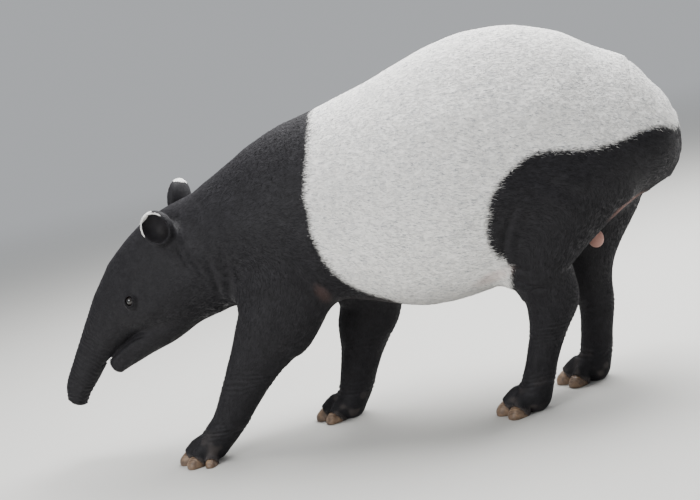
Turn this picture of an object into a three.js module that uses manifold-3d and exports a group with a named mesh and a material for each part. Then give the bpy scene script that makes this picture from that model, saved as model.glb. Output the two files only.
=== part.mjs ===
// A life-size still model of an adult Malayan tapir that steps forward with its head lowered.
// Units are millimetres, +Z is up, the snout points along -X and the animal's left side is -Y.
// Every fleshy form is a limb: a chain of oval sections along a curved axis. Limbs melt into each
// other by a smooth union, a net of cells wraps the whole, and thin cuts part it at the joints.
import * as THREE from "three";
import { mergeVertices } from "three/addons/utils/BufferGeometryUtils.js";
import Module from "manifold-3d";

const wasm = await Module();
wasm.setup();

// Driving dimensions
const GAP = 0.32; // clearance between neighbouring pieces
const FAR = 3000; // longer than the animal, for cutters
const WELDS = [0.03, 0.02, 0.013, 0.009, 0.006, 0.004, 0.0025, 0.0015]; // vertices this close are one
const EYE_RADIUS = 18;
const LID_THICKNESS = 3;
const EAR = { width: 92, depth: 56, wall: 7 };
const HOOF = { length: 33, width: 24, height: 26 }; // radii of a main hoof
const ANKLE_HEIGHT = 88;
const CELLS = { torso: 50, neck: 36, leg: 31, head: 27, snout: 20, foot: 20, tail: 16 };

const COLOURS = { black: 0x2a2a2d, white: 0xdfe0de, hoof: 0x8d7359, eye: 0x120d0b };

const v3 = (x, y, z) => new THREE.Vector3(x, y, z);

// Limb sections: x, y, z, half width, reach up or forward, reach down or back, narrowing on top

// From the rump, over the barrel and the lowered neck, to the tip of the short trunk of the snout
const TRUNK = [
  [951, 0, 688, 64, 60, 58, 0.05],
  [940, 0, 688, 96, 92, 84, 0.05],
  [920, 0, 688, 126, 124, 112, 0.05],
  [888, 0, 688, 153, 166, 133, 0.05],
  [848, 0, 689, 173, 212, 153, 0.05],
  [796, 0, 690, 194, 254, 170, 0.05],
  [700, 0, 685, 230, 326, 200, 0.06],
  [551, 0, 680, 264, 378, 276, 0.1],
  [381, 0, 677, 292, 377, 332, 0.14],
  [209, 0, 675, 290, 330, 346, 0.14],
  [34, 0, 676, 260, 274, 305, 0.12],
  [-117, 0, 667, 216, 238, 262, 0.14],
  [-282, 0, 626, 168, 196, 214, 0.14],
  [-376, 1, 597, 144, 180, 182, 0.14],
  [-484, 4, 567, 128, 176, 163, 0.2],
  [-540, 9, 546, 119, 172, 152, 0.22],
  [-604, 16, 516, 110, 158, 136, 0.22],
  [-668, 25, 484, 95, 138, 106, 0.18],
  [-735, 34, 442, 72, 106, 76, 0.12],
  [-830, 46, 356, 48, 70, 46, 0.05],
  [-884, 53, 291, 40, 60, 38, 0],
  [-929, 58, 236, 34, 50, 34, 0],
  [-952, 61, 199, 31, 34, 31, 0],
];
const JAW = [
  [-430, 3, 470, 84, 60, 62, 0],
  [-510, 7, 432, 76, 60, 52, -0.1],
  [-603, 15, 386, 60, 46, 49, -0.1],
  [-684, 24, 347, 46, 36, 40, -0.1],
  [-745, 32, 316, 36, 33, 33, -0.1],
  [-787, 38, 291, 28, 29, 26, -0.1],
];
const TAIL = [
  [882, 0, 690, 32, 30, 30, 0],
  [926, 0, 656, 28, 24, 24, 0],
  [930, 0, 618, 23, 20, 20, 0],
  [910, 0, 580, 15, 13, 13, 0],
];

const LEGS = {
  fore_left: [
    [-170, -108, 640, 62, 150, 130, 0],
    [-150, -130, 500, 76, 130, 122, 0],
    [-216, -130, 376, 72, 121, 112, 0],
    [-262, -124, 320, 64, 107, 88, 0],
    [-317, -120, 256, 56, 82, 68, 0],
    [-384, -118, 168, 50, 61, 56, 0],
    [-436, -118, 102, 47, 49, 50, 0],
    [-484, -118, 50, 54, 48, 44, 0],
  ],
  fore_right: [
    [-130, 108, 620, 62, 150, 130, 0],
    [-10, 130, 450, 76, 118, 118, 0],
    [2, 126, 340, 68, 96, 98, 0],
    [-28, 118, 258, 60, 82, 82, 0],
    [-52, 112, 190, 52, 63, 63, 0],
    [-74, 110, 130, 48, 55, 55, 0],
    [-92, 110, 82, 47, 51, 50, 0],
    [-110, 110, 44, 54, 50, 44, 0],
  ],
  hind_left: [
    [735, -100, 700, 90, 200, 150, 0],
    [640, -132, 560, 98, 195, 106, 0],
    [544, -134, 430, 92, 116, 76, 0],
    [541, -126, 370, 80, 90, 78, 0],
    [544, -120, 312, 66, 79, 76, 0],
    [528, -114, 255, 53, 59, 60, 0],
    [510, -108, 203, 46, 48, 50, 0],
    [490, -106, 150, 44, 44, 46, 0],
    [473, -105, 102, 44, 44, 46, 0],
    [455, -105, 50, 53, 46, 46, 0],
  ],
  hind_right: [
    [760, 100, 700, 90, 185, 140, 0],
    [722, 130, 545, 96, 165, 122, 0],
    [676, 126, 420, 84, 116, 92, 0],
    [660, 116, 330, 64, 76, 66, 0],
    [659, 110, 225, 48, 52, 53, 0],
    [648, 106, 150, 44, 47, 48, 0],
    [637, 104, 96, 44, 46, 48, 0],
    [626, 104, 48, 53, 46, 46, 0],
  ],
};

// Toes fan out ahead of the foot: turn from straight ahead in degrees, reach, size of the hoof
const TOES = {
  fore: [
    { turn: -38, reach: 62, scale: 0.92 },
    { turn: 0, reach: 78, scale: 1.08 },
    { turn: 38, reach: 64, scale: 0.95 },
    { turn: 82, reach: 56, scale: 0.66 },
  ],
  hind: [
    { turn: -39, reach: 66, scale: 0.94 },
    { turn: 0, reach: 78, scale: 1.08 },
    { turn: 39, reach: 66, scale: 0.94 },
  ],
};

// A curve through the rows of a table, column by column
function spline(rows, samples) {
  const ghost = (a, b) => a.map((x, i) => 2 * x - b[i]);
  const last = rows.length - 1;
  const padded = [ghost(rows[0], rows[1]), ...rows, ghost(rows[last], rows[last - 1])];
  return Array.from({ length: samples }, (_, s) => {
    const u = (s / (samples - 1)) * last;
    const i = Math.min(Math.floor(u), last - 1);
    const f = u - i;
    const [a, b, c, d] = padded.slice(i, i + 4);
    return b.map((_, k) => {
      const slope = c[k] - a[k];
      const bend = 2 * a[k] - 5 * b[k] + 4 * c[k] - d[k];
      const twist = 3 * b[k] - a[k] - 3 * c[k] + d[k];
      return 0.5 * (2 * b[k] + slope * f + bend * f * f + twist * f ** 3);
    });
  });
}

// One fleshy form. `caps` round off its two ends and `blend` is the width of its fillet.
class Limb {
  constructor(rows, { caps, blend, samples = 60 }) {
    Object.assign(this, { caps, blend });
    const raw = spline(rows, samples);
    this.stations = raw.map((row, i) => {
      const [before, after] = [raw[Math.max(i - 1, 0)], raw[Math.min(i + 1, samples - 1)]];
      const along = v3(after[0] - before[0], after[1] - before[1], after[2] - before[2]).normalize();
      const across = v3(0, 1, 0).addScaledVector(along, -along.y).normalize();
      const upward = across.clone().cross(along);
      const [half, up, down] = row.slice(3, 6);
      return { centre: v3(...row.slice(0, 3)), along, across, upward, half, up, down, taper: row[6] };
    });
    this.box = new THREE.Box3();
    this.stations.forEach(({ centre, half, up, down }) => {
      const reach = Math.max(half, up, down);
      this.box.union(new THREE.Box3(centre.clone(), centre.clone()).expandByScalar(reach));
    });
    this.box.expandByScalar(blend);
  }

  // The place on the axis nearest to a point: a station's index and the share of the way to the next
  nearest(point) {
    let best = { index: 0, share: 0 };
    let least = Infinity;
    for (let index = 0; index < this.stations.length - 1; index++) {
      const { centre: a } = this.stations[index];
      const { centre: b } = this.stations[index + 1];
      const [dx, dy, dz] = [b.x - a.x, b.y - a.y, b.z - a.z];
      const [px, py, pz] = [point.x - a.x, point.y - a.y, point.z - a.z];
      const share = Math.min(Math.max((px * dx + py * dy + pz * dz) / (dx * dx + dy * dy + dz * dz), 0), 1);
      const away = (px - dx * share) ** 2 + (py - dy * share) ** 2 + (pz - dz * share) ** 2;
      if (away < least) {
        least = away;
        best = { index, share };
      }
    }
    return best;
  }

  // Roughly how far a point lies outside the limb's skin, negative inside
  distance(point) {
    const clearance = this.box.distanceToPoint(point);
    if (clearance > 0) return clearance + this.blend;
    const { index, share } = this.nearest(point);
    const [a, b] = [this.stations[index], this.stations[index + 1]];
    const mix = (key) => a[key] + (b[key] - a[key]) * share;
    const turn = (key) => a[key].clone().lerp(b[key], share);
    const from = point.clone().sub(turn("centre"));
    const [x, y, w] = [from.dot(turn("across")), from.dot(turn("upward")), from.dot(turn("along"))];
    const v = y / mix(y > 0 ? "up" : "down");
    const half = mix("half") * (1 - mix("taper") * Math.min(Math.max(v, -1.3), 1.3));
    const atStart = index === 0 && share === 0 && w < 0;
    const atEnd = index === this.stations.length - 2 && share === 1 && w > 0;
    const past = atStart || atEnd ? w : 0;
    const fill = Math.hypot(x / half, v, past / this.caps[atStart ? 0 : 1]);
    return fill < 1e-6 ? -half : Math.hypot(x, y, past) * (1 - 1 / fill);
  }
}

// The smooth union of all limbs: negative inside the animal
function flesh(point, limbs) {
  return limbs.reduce((nearest, limb) => {
    const d = limb.distance(point);
    if (nearest === null) return d;
    const overlap = Math.max(limb.blend - Math.abs(nearest - d), 0) / limb.blend;
    return Math.min(nearest, d) - (overlap * overlap * limb.blend) / 4;
  }, null);
}

function fromGeometry(geometry) {
  const plain = geometry.clone();
  plain.deleteAttribute("normal");
  plain.deleteAttribute("uv");
  const merged = mergeVertices(plain, 1e-3);
  const mesh = new wasm.Mesh({
    numProp: 3,
    vertProperties: new Float32Array(merged.attributes.position.array),
    triVerts: new Uint32Array(merged.index.array),
  });
  return new wasm.Manifold(mesh);
}

// Wraps the flesh inside a box in a net of cells. A net that pinches itself somewhere isn't a solid,
// so it is laid again from a corner slightly further out.
function net(limbs, box, cell) {
  for (let tries = 0; tries < 9; tries++) {
    const shifted = box.clone();
    shifted.min.subScalar(0.11 * cell * tries);
    const { vertices, faces } = netFaces(limbs, shifted, cell);
    if (isClosed(faces)) return fromGeometry(surfaceOf(vertices.flatMap((p) => [p.x, p.y, p.z]), faces));
  }
  throw new Error("every net pinches itself");
}

// Whether every edge has two faces
function isClosed(faces) {
  const sides = new Map();
  faces.forEach((face) => {
    face.forEach((a, i) => {
      const b = face[(i + 1) % 3];
      const key = a < b ? `${a},${b}` : `${b},${a}`;
      sides.set(key, (sides.get(key) ?? 0) + 1);
    });
  });
  return [...sides.values()].every((count) => count === 2);
}

function surfaceOf(positions, faces) {
  const geometry = new THREE.BufferGeometry();
  geometry.setAttribute("position", new THREE.BufferAttribute(new Float32Array(positions), 3));
  geometry.setIndex(faces.flat());
  return geometry;
}

// The net has one vertex for each cell that the skin passes through, and each vertex is then drawn
// onto the skin along the steepest slope.
function netFaces(limbs, box, cell) {
  const near = limbs.filter((limb) => limb.box.intersectsBox(box));
  const size = box.getSize(v3(0, 0, 0));
  const [nx, ny, nz] = [size.x, size.y, size.z].map((s) => Math.ceil(s / cell) + 1);
  const corner = (i, j, k) => v3(box.min.x + i * cell, box.min.y + j * cell, box.min.z + k * cell);
  const at = (i, j, k) => (i * ny + j) * nz + k;
  const values = new Float64Array(nx * ny * nz);
  for (let i = 0; i < nx; i++)
    for (let j = 0; j < ny; j++)
      for (let k = 0; k < nz; k++) {
        const edge = i === 0 || j === 0 || k === 0 || i === nx - 1 || j === ny - 1 || k === nz - 1;
        const value = flesh(corner(i, j, k), near);
        values[at(i, j, k)] = edge ? Math.max(value, 0.2 * cell) : value;
      }
  const vertices = [];
  const indexOf = new Map();
  const vertexAt = (i, j, k) => {
    const key = at(i, j, k);
    if (indexOf.has(key)) return indexOf.get(key);
    const sum = v3(0, 0, 0);
    let crossings = 0;
    for (let a = 0; a < 8; a++)
      for (let axis = 1; axis <= 4; axis *= 2) {
        if (a & axis) continue;
        const [p, q] = [a, a | axis].map((bits) => [i + (bits & 1), j + ((bits >> 1) & 1), k + (bits >> 2)]);
        const [f, g] = [values[at(...p)], values[at(...q)]];
        if (f < 0 === g < 0) continue;
        sum.add(corner(...p).lerp(corner(...q), f / (f - g)));
        crossings++;
      }
    const point = sum.divideScalar(crossings);
    drawToSkin(point, near, cell);
    indexOf.set(key, vertices.push(point) - 1);
    return indexOf.get(key);
  };
  const faces = [];
  const edges = [
    { step: [1, 0, 0], around: [[0, 0, 0], [0, -1, 0], [0, -1, -1], [0, 0, -1]] },
    { step: [0, 1, 0], around: [[0, 0, 0], [0, 0, -1], [-1, 0, -1], [-1, 0, 0]] },
    { step: [0, 0, 1], around: [[0, 0, 0], [-1, 0, 0], [-1, -1, 0], [0, -1, 0]] },
  ];
  for (let i = 0; i < nx - 1; i++)
    for (let j = 0; j < ny - 1; j++)
      for (let k = 0; k < nz - 1; k++)
        for (const { step, around } of edges) {
          const [f, g] = [values[at(i, j, k)], values[at(i + step[0], j + step[1], k + step[2])]];
          if (f < 0 === g < 0) continue;
          const quad = around.map(([a, b, c]) => vertexAt(i + a, j + b, k + c));
          if (f > 0) quad.reverse();
          faces.push([quad[0], quad[1], quad[2]], [quad[0], quad[2], quad[3]]);
        }
  return { vertices, faces };
}

function drawToSkin(point, limbs, cell) {
  const STEP = 0.5;
  const start = point.clone();
  for (let round = 0; round < 3; round++) {
    const value = flesh(point, limbs);
    const probe = (axis) => flesh(point.clone().add(v3(...axis).multiplyScalar(STEP)), limbs) - value;
    const slope = v3(probe([1, 0, 0]), probe([0, 1, 0]), probe([0, 0, 1])).divideScalar(STEP);
    point.addScaledVector(slope, -value / Math.max(slope.lengthSq(), 0.2));
    point.sub(start).clampLength(0, 0.55 * cell).add(start);
  }
}

// The skin point that a ray from inside the body meets first
function skinPoint(origin, direction, limbs) {
  const ray = v3(...direction).normalize();
  let [low, high] = [0, 400];
  for (let i = 0; i < 20; i++) {
    const middle = (low + high) / 2;
    if (flesh(v3(...origin).addScaledVector(ray, middle), limbs) < 0) low = middle;
    else high = middle;
  }
  return v3(...origin).addScaledVector(ray, low);
}

// A right-handed frame whose third axis is `out` and whose first lies towards `side`
function frameAlong(out, side = v3(0.1, 0, 1)) {
  const z = out.clone().normalize();
  const x = side.clone().addScaledVector(z, -side.dot(z)).normalize();
  return [x, z.clone().cross(x), z];
}

// An egg-shaped solid with its three radii along the axes of a frame
function egg(at, radii, frame = [v3(1, 0, 0), v3(0, 1, 0), v3(0, 0, 1)], grow = 0, detail = [14, 9]) {
  const place = new THREE.Matrix4().makeBasis(
    ...frame.map((axis, i) => axis.clone().multiplyScalar(radii[i] + grow)),
  );
  place.setPosition(at);
  return fromGeometry(new THREE.SphereGeometry(1, ...detail).applyMatrix4(place));
}

// Everything on one side of a plane, as far as `reach`
function halfSpace(point, normal, shift = 0) {
  const frame = frameAlong(v3(...normal));
  const centre = v3(...point).addScaledVector(frame[2], -FAR / 2 - shift);
  const place = new THREE.Matrix4().makeBasis(...frame).setPosition(centre);
  return fromGeometry(new THREE.BoxGeometry(FAR, FAR, FAR).applyMatrix4(place));
}

// An outline in the X-Z or Y-Z plane, pushed out straight along the third axis
function prism(outline, plane, from, to) {
  const geometry = new THREE.ExtrudeGeometry(new THREE.Shape(outline.map((p) => new THREE.Vector2(...p))), {
    depth: to - from,
    bevelEnabled: false,
  });
  geometry.translate(0, 0, from);
  const [x, y, z] = [v3(1, 0, 0), v3(0, 1, 0), v3(0, 0, 1)];
  const basis = plane === "xz" ? [x, z, y.clone().negate()] : [y, z, x];
  return fromGeometry(geometry.applyMatrix4(new THREE.Matrix4().makeBasis(...basis)));
}

const boxOf = (min, max) => new THREE.Box3(v3(...min), v3(...max));
const largest = (solid) => solid.decompose().sort((a, b) => b.volume() - a.volume())[0];

// A solid's surface with vertices that nearly touch welded together, by the widest weld that leaves
// two faces at every edge
function welded(solid) {
  for (const weld of WELDS) {
    const { positions, faces } = weldBy(weld, solid.getMesh());
    if (isClosed(faces)) return surfaceOf(positions, faces);
  }
  throw new Error("no weld keeps this piece closed");
}

function weldBy(size, { vertProperties, triVerts, numProp }) {
  const places = new Map();
  const positions = [];
  const weld = Array.from({ length: vertProperties.length / numProp }, (_, i) => {
    const place = [0, 1, 2].map((k) => Math.round(vertProperties[i * numProp + k] / size) * size);
    const key = place.join();
    if (!places.has(key)) places.set(key, positions.push(...place) / 3 - 1);
    return places.get(key);
  });
  const faces = new Map();
  for (let t = 0; t < triVerts.length; t += 3) {
    const face = [0, 1, 2].map((k) => weld[triVerts[t + k]]);
    if (new Set(face).size < 3) continue;
    // Two faces on the same three corners lie back to back, so neither is kept
    const key = [...face].sort((a, b) => a - b).join();
    if (!faces.delete(key)) faces.set(key, face);
  }
  return { positions, faces: [...faces.values()] };
}

const tapir = new THREE.Group();
function addPiece(name, solid, colour, roughness = 0.8) {
  const geometry = welded(largest(solid));
  geometry.computeVertexNormals();
  const mesh = new THREE.Mesh(geometry, new THREE.MeshStandardMaterial({ color: colour, roughness }));
  mesh.name = name;
  tapir.add(mesh);
}

// The limbs

const trunk = new Limb(TRUNK, { caps: [9, 11], blend: 60, samples: 156 });
const jaw = new Limb(JAW, { caps: [60, 17], blend: 18, samples: 30 });
const tail = new Limb(TAIL, { caps: [20, 12], blend: 14, samples: 20 });
const legLimbs = Object.entries(LEGS).map(([name, rows]) => {
  const hind = name.startsWith("hind");
  return new Limb(rows, { caps: [90, 62], blend: hind ? 75 : 85 });
});

// Toes with a hoof each, for one foot
const feet = Object.entries(LEGS).map(([name, rows]) => {
  const [pair, side] = name.split("_");
  const outward = side === "left" ? -1 : 1;
  const [x, y] = rows[rows.length - 1];
  const toes = TOES[pair].map(({ turn, reach, scale }) => {
    const angle = THREE.MathUtils.degToRad(turn);
    const ahead = v3(-Math.cos(angle), outward * Math.sin(angle), 0);
    const tip = v3(x, y, 0).addScaledVector(ahead, reach);
    const knuckle = v3(x, y, 0).addScaledVector(ahead, 0.25 * reach);
    return { ahead, tip, knuckle, scale };
  });
  return { name, side, pair, x, y, toes };
});
const toeLimbs = feet.flatMap(({ toes }) =>
  toes.map(({ tip, knuckle, scale }) => {
    const [thick, high] = [24 * scale, 27 * scale];
    const middle = knuckle.clone().lerp(tip, 0.55);
    const rows = [
      [knuckle.x, knuckle.y, 52, thick * 1.05, high, high, 0],
      [middle.x, middle.y, 38 * scale + 4, thick, high, high, 0],
      [tip.x, tip.y, 26 * scale, thick * 0.9, high * 0.9, high * 0.9, 0],
    ];
    return new Limb(rows, { caps: [20, 20 * scale], blend: 12, samples: 8 });
  }),
);
const limbs = [trunk, ...legLimbs, ...toeLimbs, jaw, tail];

// The cuts

// Each leg leaves the trunk at a plane that rises from the armpit or groin to the outer side
const LEG_CUTS = {
  fore_left: { x: [-640, -10], inner: [-20, 296], outer: [-330, 560] },
  fore_right: { x: [-330, 150], inner: [20, 296], outer: [330, 560] },
  hind_left: { x: [405, 985], inner: [-16, 322], outer: [-340, 640] },
  hind_right: { x: [520, 985], inner: [16, 322], outer: [340, 640] },
};
const legRegion = (name, grow) => {
  const { x, inner, outer } = LEG_CUTS[name];
  const outward = Math.sign(outer[0]);
  const outline = [
    [inner[0] - outward * grow, inner[1] + 1.4 * grow],
    [outer[0], outer[1] + 1.4 * grow],
    [outer[0], -60],
    [inner[0] - outward * grow, -60],
  ];
  return prism(outward > 0 ? outline.reverse() : outline, "yz", x[0] - grow, x[1] + grow);
};

const NECK_CUT = { at: [-196, 0, 640], normal: [0.9, 0, 0.28] };
const HEAD_CUT = { at: [-392, 0, 590], normal: [0.93, 0, 0.36] };
const SNOUT_CUT = { at: [-838, 0, 350], normal: [0.72, -0.1, 0.64] };
const ahead = ({ at, normal }) => halfSpace(at, normal, GAP / 2);
const behind = ({ at, normal }) => halfSpace(at, normal.map((n) => -n), GAP / 2);

// Trunk of the body
let body = net(limbs, boxOf([-300, -340, 250], [1010, 340, 1130]), CELLS.torso);
Object.keys(LEG_CUTS).forEach((name) => {
  body = body.subtract(legRegion(name, GAP));
});
const tailRegion = (grow) => {
  const [x, y, z] = [930, 30, 668];
  const outline = [[x - grow, z + grow], [x - grow, 540], [1000, 540], [1000, z + grow]];
  return prism(outline, "xz", -y - grow, y + grow);
};
addPiece("torso", body.intersect(behind(NECK_CUT)).subtract(tailRegion(GAP)), COLOURS.white);
const tailFlesh = net(limbs, boxOf([890, -60, 520], [1000, 60, 720]), CELLS.tail);
addPiece("tail", tailFlesh.intersect(tailRegion(0)), COLOURS.black);

let neck = net(limbs, boxOf([-520, -260, 330], [-120, 260, 960]), CELLS.neck);
["fore_left", "fore_right"].forEach((name) => {
  neck = neck.subtract(legRegion(name, GAP));
});
addPiece("neck", neck.intersect(ahead(NECK_CUT)).intersect(behind(HEAD_CUT)), COLOURS.black);

// Head, with lids, ear sockets, mouth and nostrils
let head = net(limbs, boxOf([-1000, -190, 150], [-380, 200, 800]), CELLS.head).intersect(ahead(HEAD_CUT));

const eyes = [-1, 1].map((side) => {
  const skin = skinPoint([-633, 22, 494], [-0.22, side, 0.06], limbs);
  const out = v3(-0.3, side, 0.08).normalize();
  return { side, out, centre: skin.addScaledVector(out, -8) };
});
eyes.forEach(({ centre, out, side }) => {
  const frame = frameAlong(out, v3(-0.6, 0, -0.75));
  const round = [EYE_RADIUS, EYE_RADIUS, EYE_RADIUS];
  head = head.add(egg(centre, [25, 22, EYE_RADIUS], frame, LID_THICKNESS));
  const opening = egg(centre.clone().addScaledVector(out, 21), [17, 13, 19], frame);
  head = head.subtract(opening).subtract(egg(centre, round, frame, GAP));
  addPiece(`eye_${side < 0 ? "left" : "right"}`, egg(centre, round, frame, 0, [14, 10]), COLOURS.eye, 0.1);
});

// Ears: a deep oval cup on a short root. The left one swings out and the right one stands up.
const EARS = [
  { side: "left", height: 106, root: [-472, -88, 652], tip: [-542, -140, 736], open: [-0.12, -0.95, 0.12] },
  { side: "right", height: 118, root: [-520, 88, 664], tip: [-488, 134, 820], open: [-0.95, 0.3, 0.1] },
];
const earSolid = ({ height, root, tip, open }, grow) => {
  const [base, end] = [v3(...root), v3(...tip)];
  const length = end.clone().sub(base);
  const [up, across, out] = frameAlong(v3(...open), length);
  const centre = base.clone().addScaledVector(length, 0.55);
  const shell = egg(centre, [height / 2, EAR.width / 2, EAR.depth / 2], [up, across, out], grow, [14, 9]);
  const bowl = egg(
    centre.clone().addScaledVector(out, EAR.depth * 0.42),
    [height / 2 - EAR.wall, EAR.width / 2 - EAR.wall, EAR.depth * 0.72], [up, across, out], 0, [12, 8],
  );
  const low = base.clone().addScaledVector(length, 0.1);
  const stalk = egg(low, [44, 30, 26], [up, across, out], grow, [12, 8]);
  return grow > 0 ? shell.add(stalk) : shell.add(stalk).subtract(bowl);
};
EARS.forEach((ear) => {
  const whole = earSolid(ear, 0);
  head = head.subtract(earSolid(ear, GAP));
  addPiece(`ear_${ear.side}`, whole, COLOURS.black);
});

// The mouth is a little open in front and its line runs back to the cheek
const MOUTH = { corner: [-640, 380], middle: [-735, 350], front: [-850, 292], open: 4 };
const JAW_BACK = [-590, 300];
const jawRegion = (grow) => {
  const { corner, middle, front, open } = MOUTH;
  const top = grow > 0 ? [GAP, open * 0.55, open] : [0, 0, 0];
  const outline = [
    [corner[0] + grow, corner[1] + top[0]],
    [middle[0], middle[1] + top[1]],
    [front[0], front[1] + top[2]],
    [front[0], 200],
    [JAW_BACK[0] + grow, 200],
    [JAW_BACK[0] + grow, JAW_BACK[1]],
  ];
  return prism(outline.reverse(), "xz", -150, 150);
};
addPiece("lower_jaw", head.intersect(jawRegion(0)), COLOURS.black);
head = head.subtract(jawRegion(GAP));

let snout = net(limbs, boxOf([-1010, -40, 140], [-770, 150, 440]), CELLS.snout);
snout = snout.intersect(ahead(SNOUT_CUT)).subtract(jawRegion(GAP));
[-1, 1].forEach((side) => {
  const nostril = v3(-955, 62 + side * 14, 198);
  snout = snout.subtract(egg(nostril, [9, 8, 15], frameAlong(v3(-0.35, 0, -0.94))));
});
addPiece("snout", snout, COLOURS.black);
addPiece("head", head.intersect(behind(SNOUT_CUT)), COLOURS.black);

// Legs, feet and hooves
feet.forEach(({ name, side, pair, x, y, toes }) => {
  const [low, high] = LEG_CUTS[name].x;
  const [yMin, yMax] = side === "left" ? [-350, 40] : [-40, 350];
  const leg = net(limbs, boxOf([low - 40, yMin, 30], [high + 40, yMax, 680]), CELLS.leg);
  const ankle = [0, 0, ANKLE_HEIGHT];
  const upright = leg.intersect(legRegion(name, 0)).intersect(halfSpace(ankle, [0, 0, -1], GAP / 2));
  addPiece(`${pair}_leg_${side}`, upright, COLOURS.black);
  let foot = net(limbs, boxOf([x - 130, y - 110, -30], [x + 130, y + 110, 130]), CELLS.foot);
  foot = foot.intersect(halfSpace(ankle, [0, 0, 1], GAP / 2)).intersect(halfSpace([0, 0, 0], [0, 0, -1]));
  toes.forEach(({ tip, ahead, scale }, i) => {
    const radii = [HOOF.length * scale, HOOF.width * scale, HOOF.height * scale];
    const frame = [ahead, v3(-ahead.y, ahead.x, 0), v3(0, 0, 1)];
    const centre = tip.clone().addScaledVector(ahead, 8 * scale).setZ(8 * scale);
    const ground = halfSpace([0, 0, 0], [0, 0, -1]);
    const hoof = egg(centre, radii, frame, 0, [9, 6]).intersect(ground);
    addPiece(`${pair}_hoof_${side}_${i + 1}`, hoof, COLOURS.hoof, 0.5);
    foot = foot.subtract(egg(centre, radii, frame, GAP, [9, 6]));
  });
  addPiece(`${pair}_foot_${side}`, foot, COLOURS.black);
});

// The origin is the middle of the bounding box's floor
const bounds = new THREE.Box3().setFromObject(tapir);
const middle = bounds.getCenter(v3(0, 0, 0));
tapir.position.set(-middle.x, -middle.y, -bounds.min.z);

export default tapir;
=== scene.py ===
"""Life-size display model of an adult Malayan tapir that steps forward with its head lowered.

The flesh is one continuous skin. It is wrapped round limbs, which are chains of oval sections that
melt into each other, and gets its lids, ears, nostrils, lips, folds and wrinkles on top. Short flat
hair covers it as tufts of solid mesh. Eyes and hooves are pieces of their own.
"""

import itertools
import logging
import math
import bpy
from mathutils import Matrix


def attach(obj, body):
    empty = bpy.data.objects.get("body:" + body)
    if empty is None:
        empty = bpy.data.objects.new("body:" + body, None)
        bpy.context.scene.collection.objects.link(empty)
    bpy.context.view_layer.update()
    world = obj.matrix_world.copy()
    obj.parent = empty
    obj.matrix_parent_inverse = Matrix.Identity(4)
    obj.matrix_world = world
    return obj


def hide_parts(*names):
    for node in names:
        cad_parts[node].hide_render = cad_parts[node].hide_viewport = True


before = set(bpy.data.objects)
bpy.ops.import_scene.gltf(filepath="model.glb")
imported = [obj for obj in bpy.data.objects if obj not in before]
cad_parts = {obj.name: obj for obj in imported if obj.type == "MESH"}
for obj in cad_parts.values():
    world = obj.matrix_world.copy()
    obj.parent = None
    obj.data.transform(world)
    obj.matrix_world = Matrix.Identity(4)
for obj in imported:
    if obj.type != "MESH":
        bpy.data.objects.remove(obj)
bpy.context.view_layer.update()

from concurrent.futures import ThreadPoolExecutor
from dataclasses import dataclass, field
from enum import Enum
from typing import Callable

import bpy
import numpy as np
from mathutils import Matrix, Vector

LOG = logging.getLogger("tapir")
Rows = tuple[tuple[float, ...], ...]
Field = Callable[[np.ndarray], np.ndarray]
Socket = bpy.types.NodeSocket
Tree = bpy.types.NodeTree
Spot = tuple[float, float, float]

# Shapes are worked out in millimetres, and meshes are in metres
MM = 0.001
COAT_DEPTH = 1.6
EYE_RADIUS = 18.0
CORNEA_RADIUS = 11.0
LID_THICKNESS = 3.0
ROOT = "root"
TUFTS = 270000
CORNERS = tuple(itertools.product((0, 1), repeat=3))
HAIR_MM = {"body": 13.0, "face": 6.5, "snout": 4.0, "ear": 5.0, "leg": 7.5, "foot": 4.5}
MARKS = ("saddle", "bare", "worn", "hollow", "shade", "leg")

# How far a nostril lies to each side, where the head begins, and how high the feet reach
NOSTRIL_ASIDE = 14
HEAD_BEGINS = -400
FEET_REACH = 130

# Limb sections: x, y, z, half width, reach up or forward, reach down or back, narrowing on top

# From the rump, over the barrel and the lowered neck, to the tip of the short trunk of the snout
TRUNK: Rows = (
    (951, 0, 688, 64, 60, 58, 0.05),
    (940, 0, 688, 96, 92, 84, 0.05),
    (920, 0, 688, 126, 124, 112, 0.05),
    (888, 0, 688, 153, 166, 133, 0.05),
    (848, 0, 689, 173, 212, 153, 0.05),
    (796, 0, 690, 194, 254, 170, 0.05),
    (700, 0, 685, 230, 326, 200, 0.06),
    (551, 0, 680, 264, 378, 276, 0.1),
    (381, 0, 677, 292, 377, 332, 0.14),
    (209, 0, 675, 290, 330, 346, 0.14),
    (34, 0, 676, 260, 274, 305, 0.12),
    (-117, 0, 667, 216, 238, 262, 0.14),
    (-282, 0, 626, 168, 196, 214, 0.14),
    (-376, 1, 597, 144, 180, 182, 0.14),
    (-484, 4, 567, 128, 176, 163, 0.2),
    (-540, 9, 546, 119, 172, 152, 0.22),
    (-604, 16, 516, 110, 158, 136, 0.22),
    (-668, 25, 484, 95, 138, 106, 0.18),
    (-735, 34, 442, 72, 106, 76, 0.12),
    (-830, 46, 356, 48, 70, 46, 0.05),
    (-884, 53, 291, 40, 60, 38, 0),
    (-929, 58, 236, 34, 50, 34, 0),
    (-952, 61, 199, 31, 34, 31, 0),
)
JAW: Rows = (
    (-430, 3, 470, 84, 60, 62, 0),
    (-510, 7, 432, 76, 60, 52, -0.1),
    (-603, 15, 386, 60, 46, 49, -0.1),
    (-684, 24, 347, 46, 36, 40, -0.1),
    (-745, 32, 316, 36, 33, 33, -0.1),
    (-787, 38, 291, 28, 29, 26, -0.1),
)
TAIL: Rows = (
    (882, 0, 690, 32, 30, 30, 0),
    (926, 0, 656, 28, 24, 24, 0),
    (930, 0, 618, 23, 20, 20, 0),
    (910, 0, 580, 15, 13, 13, 0),
)
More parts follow.
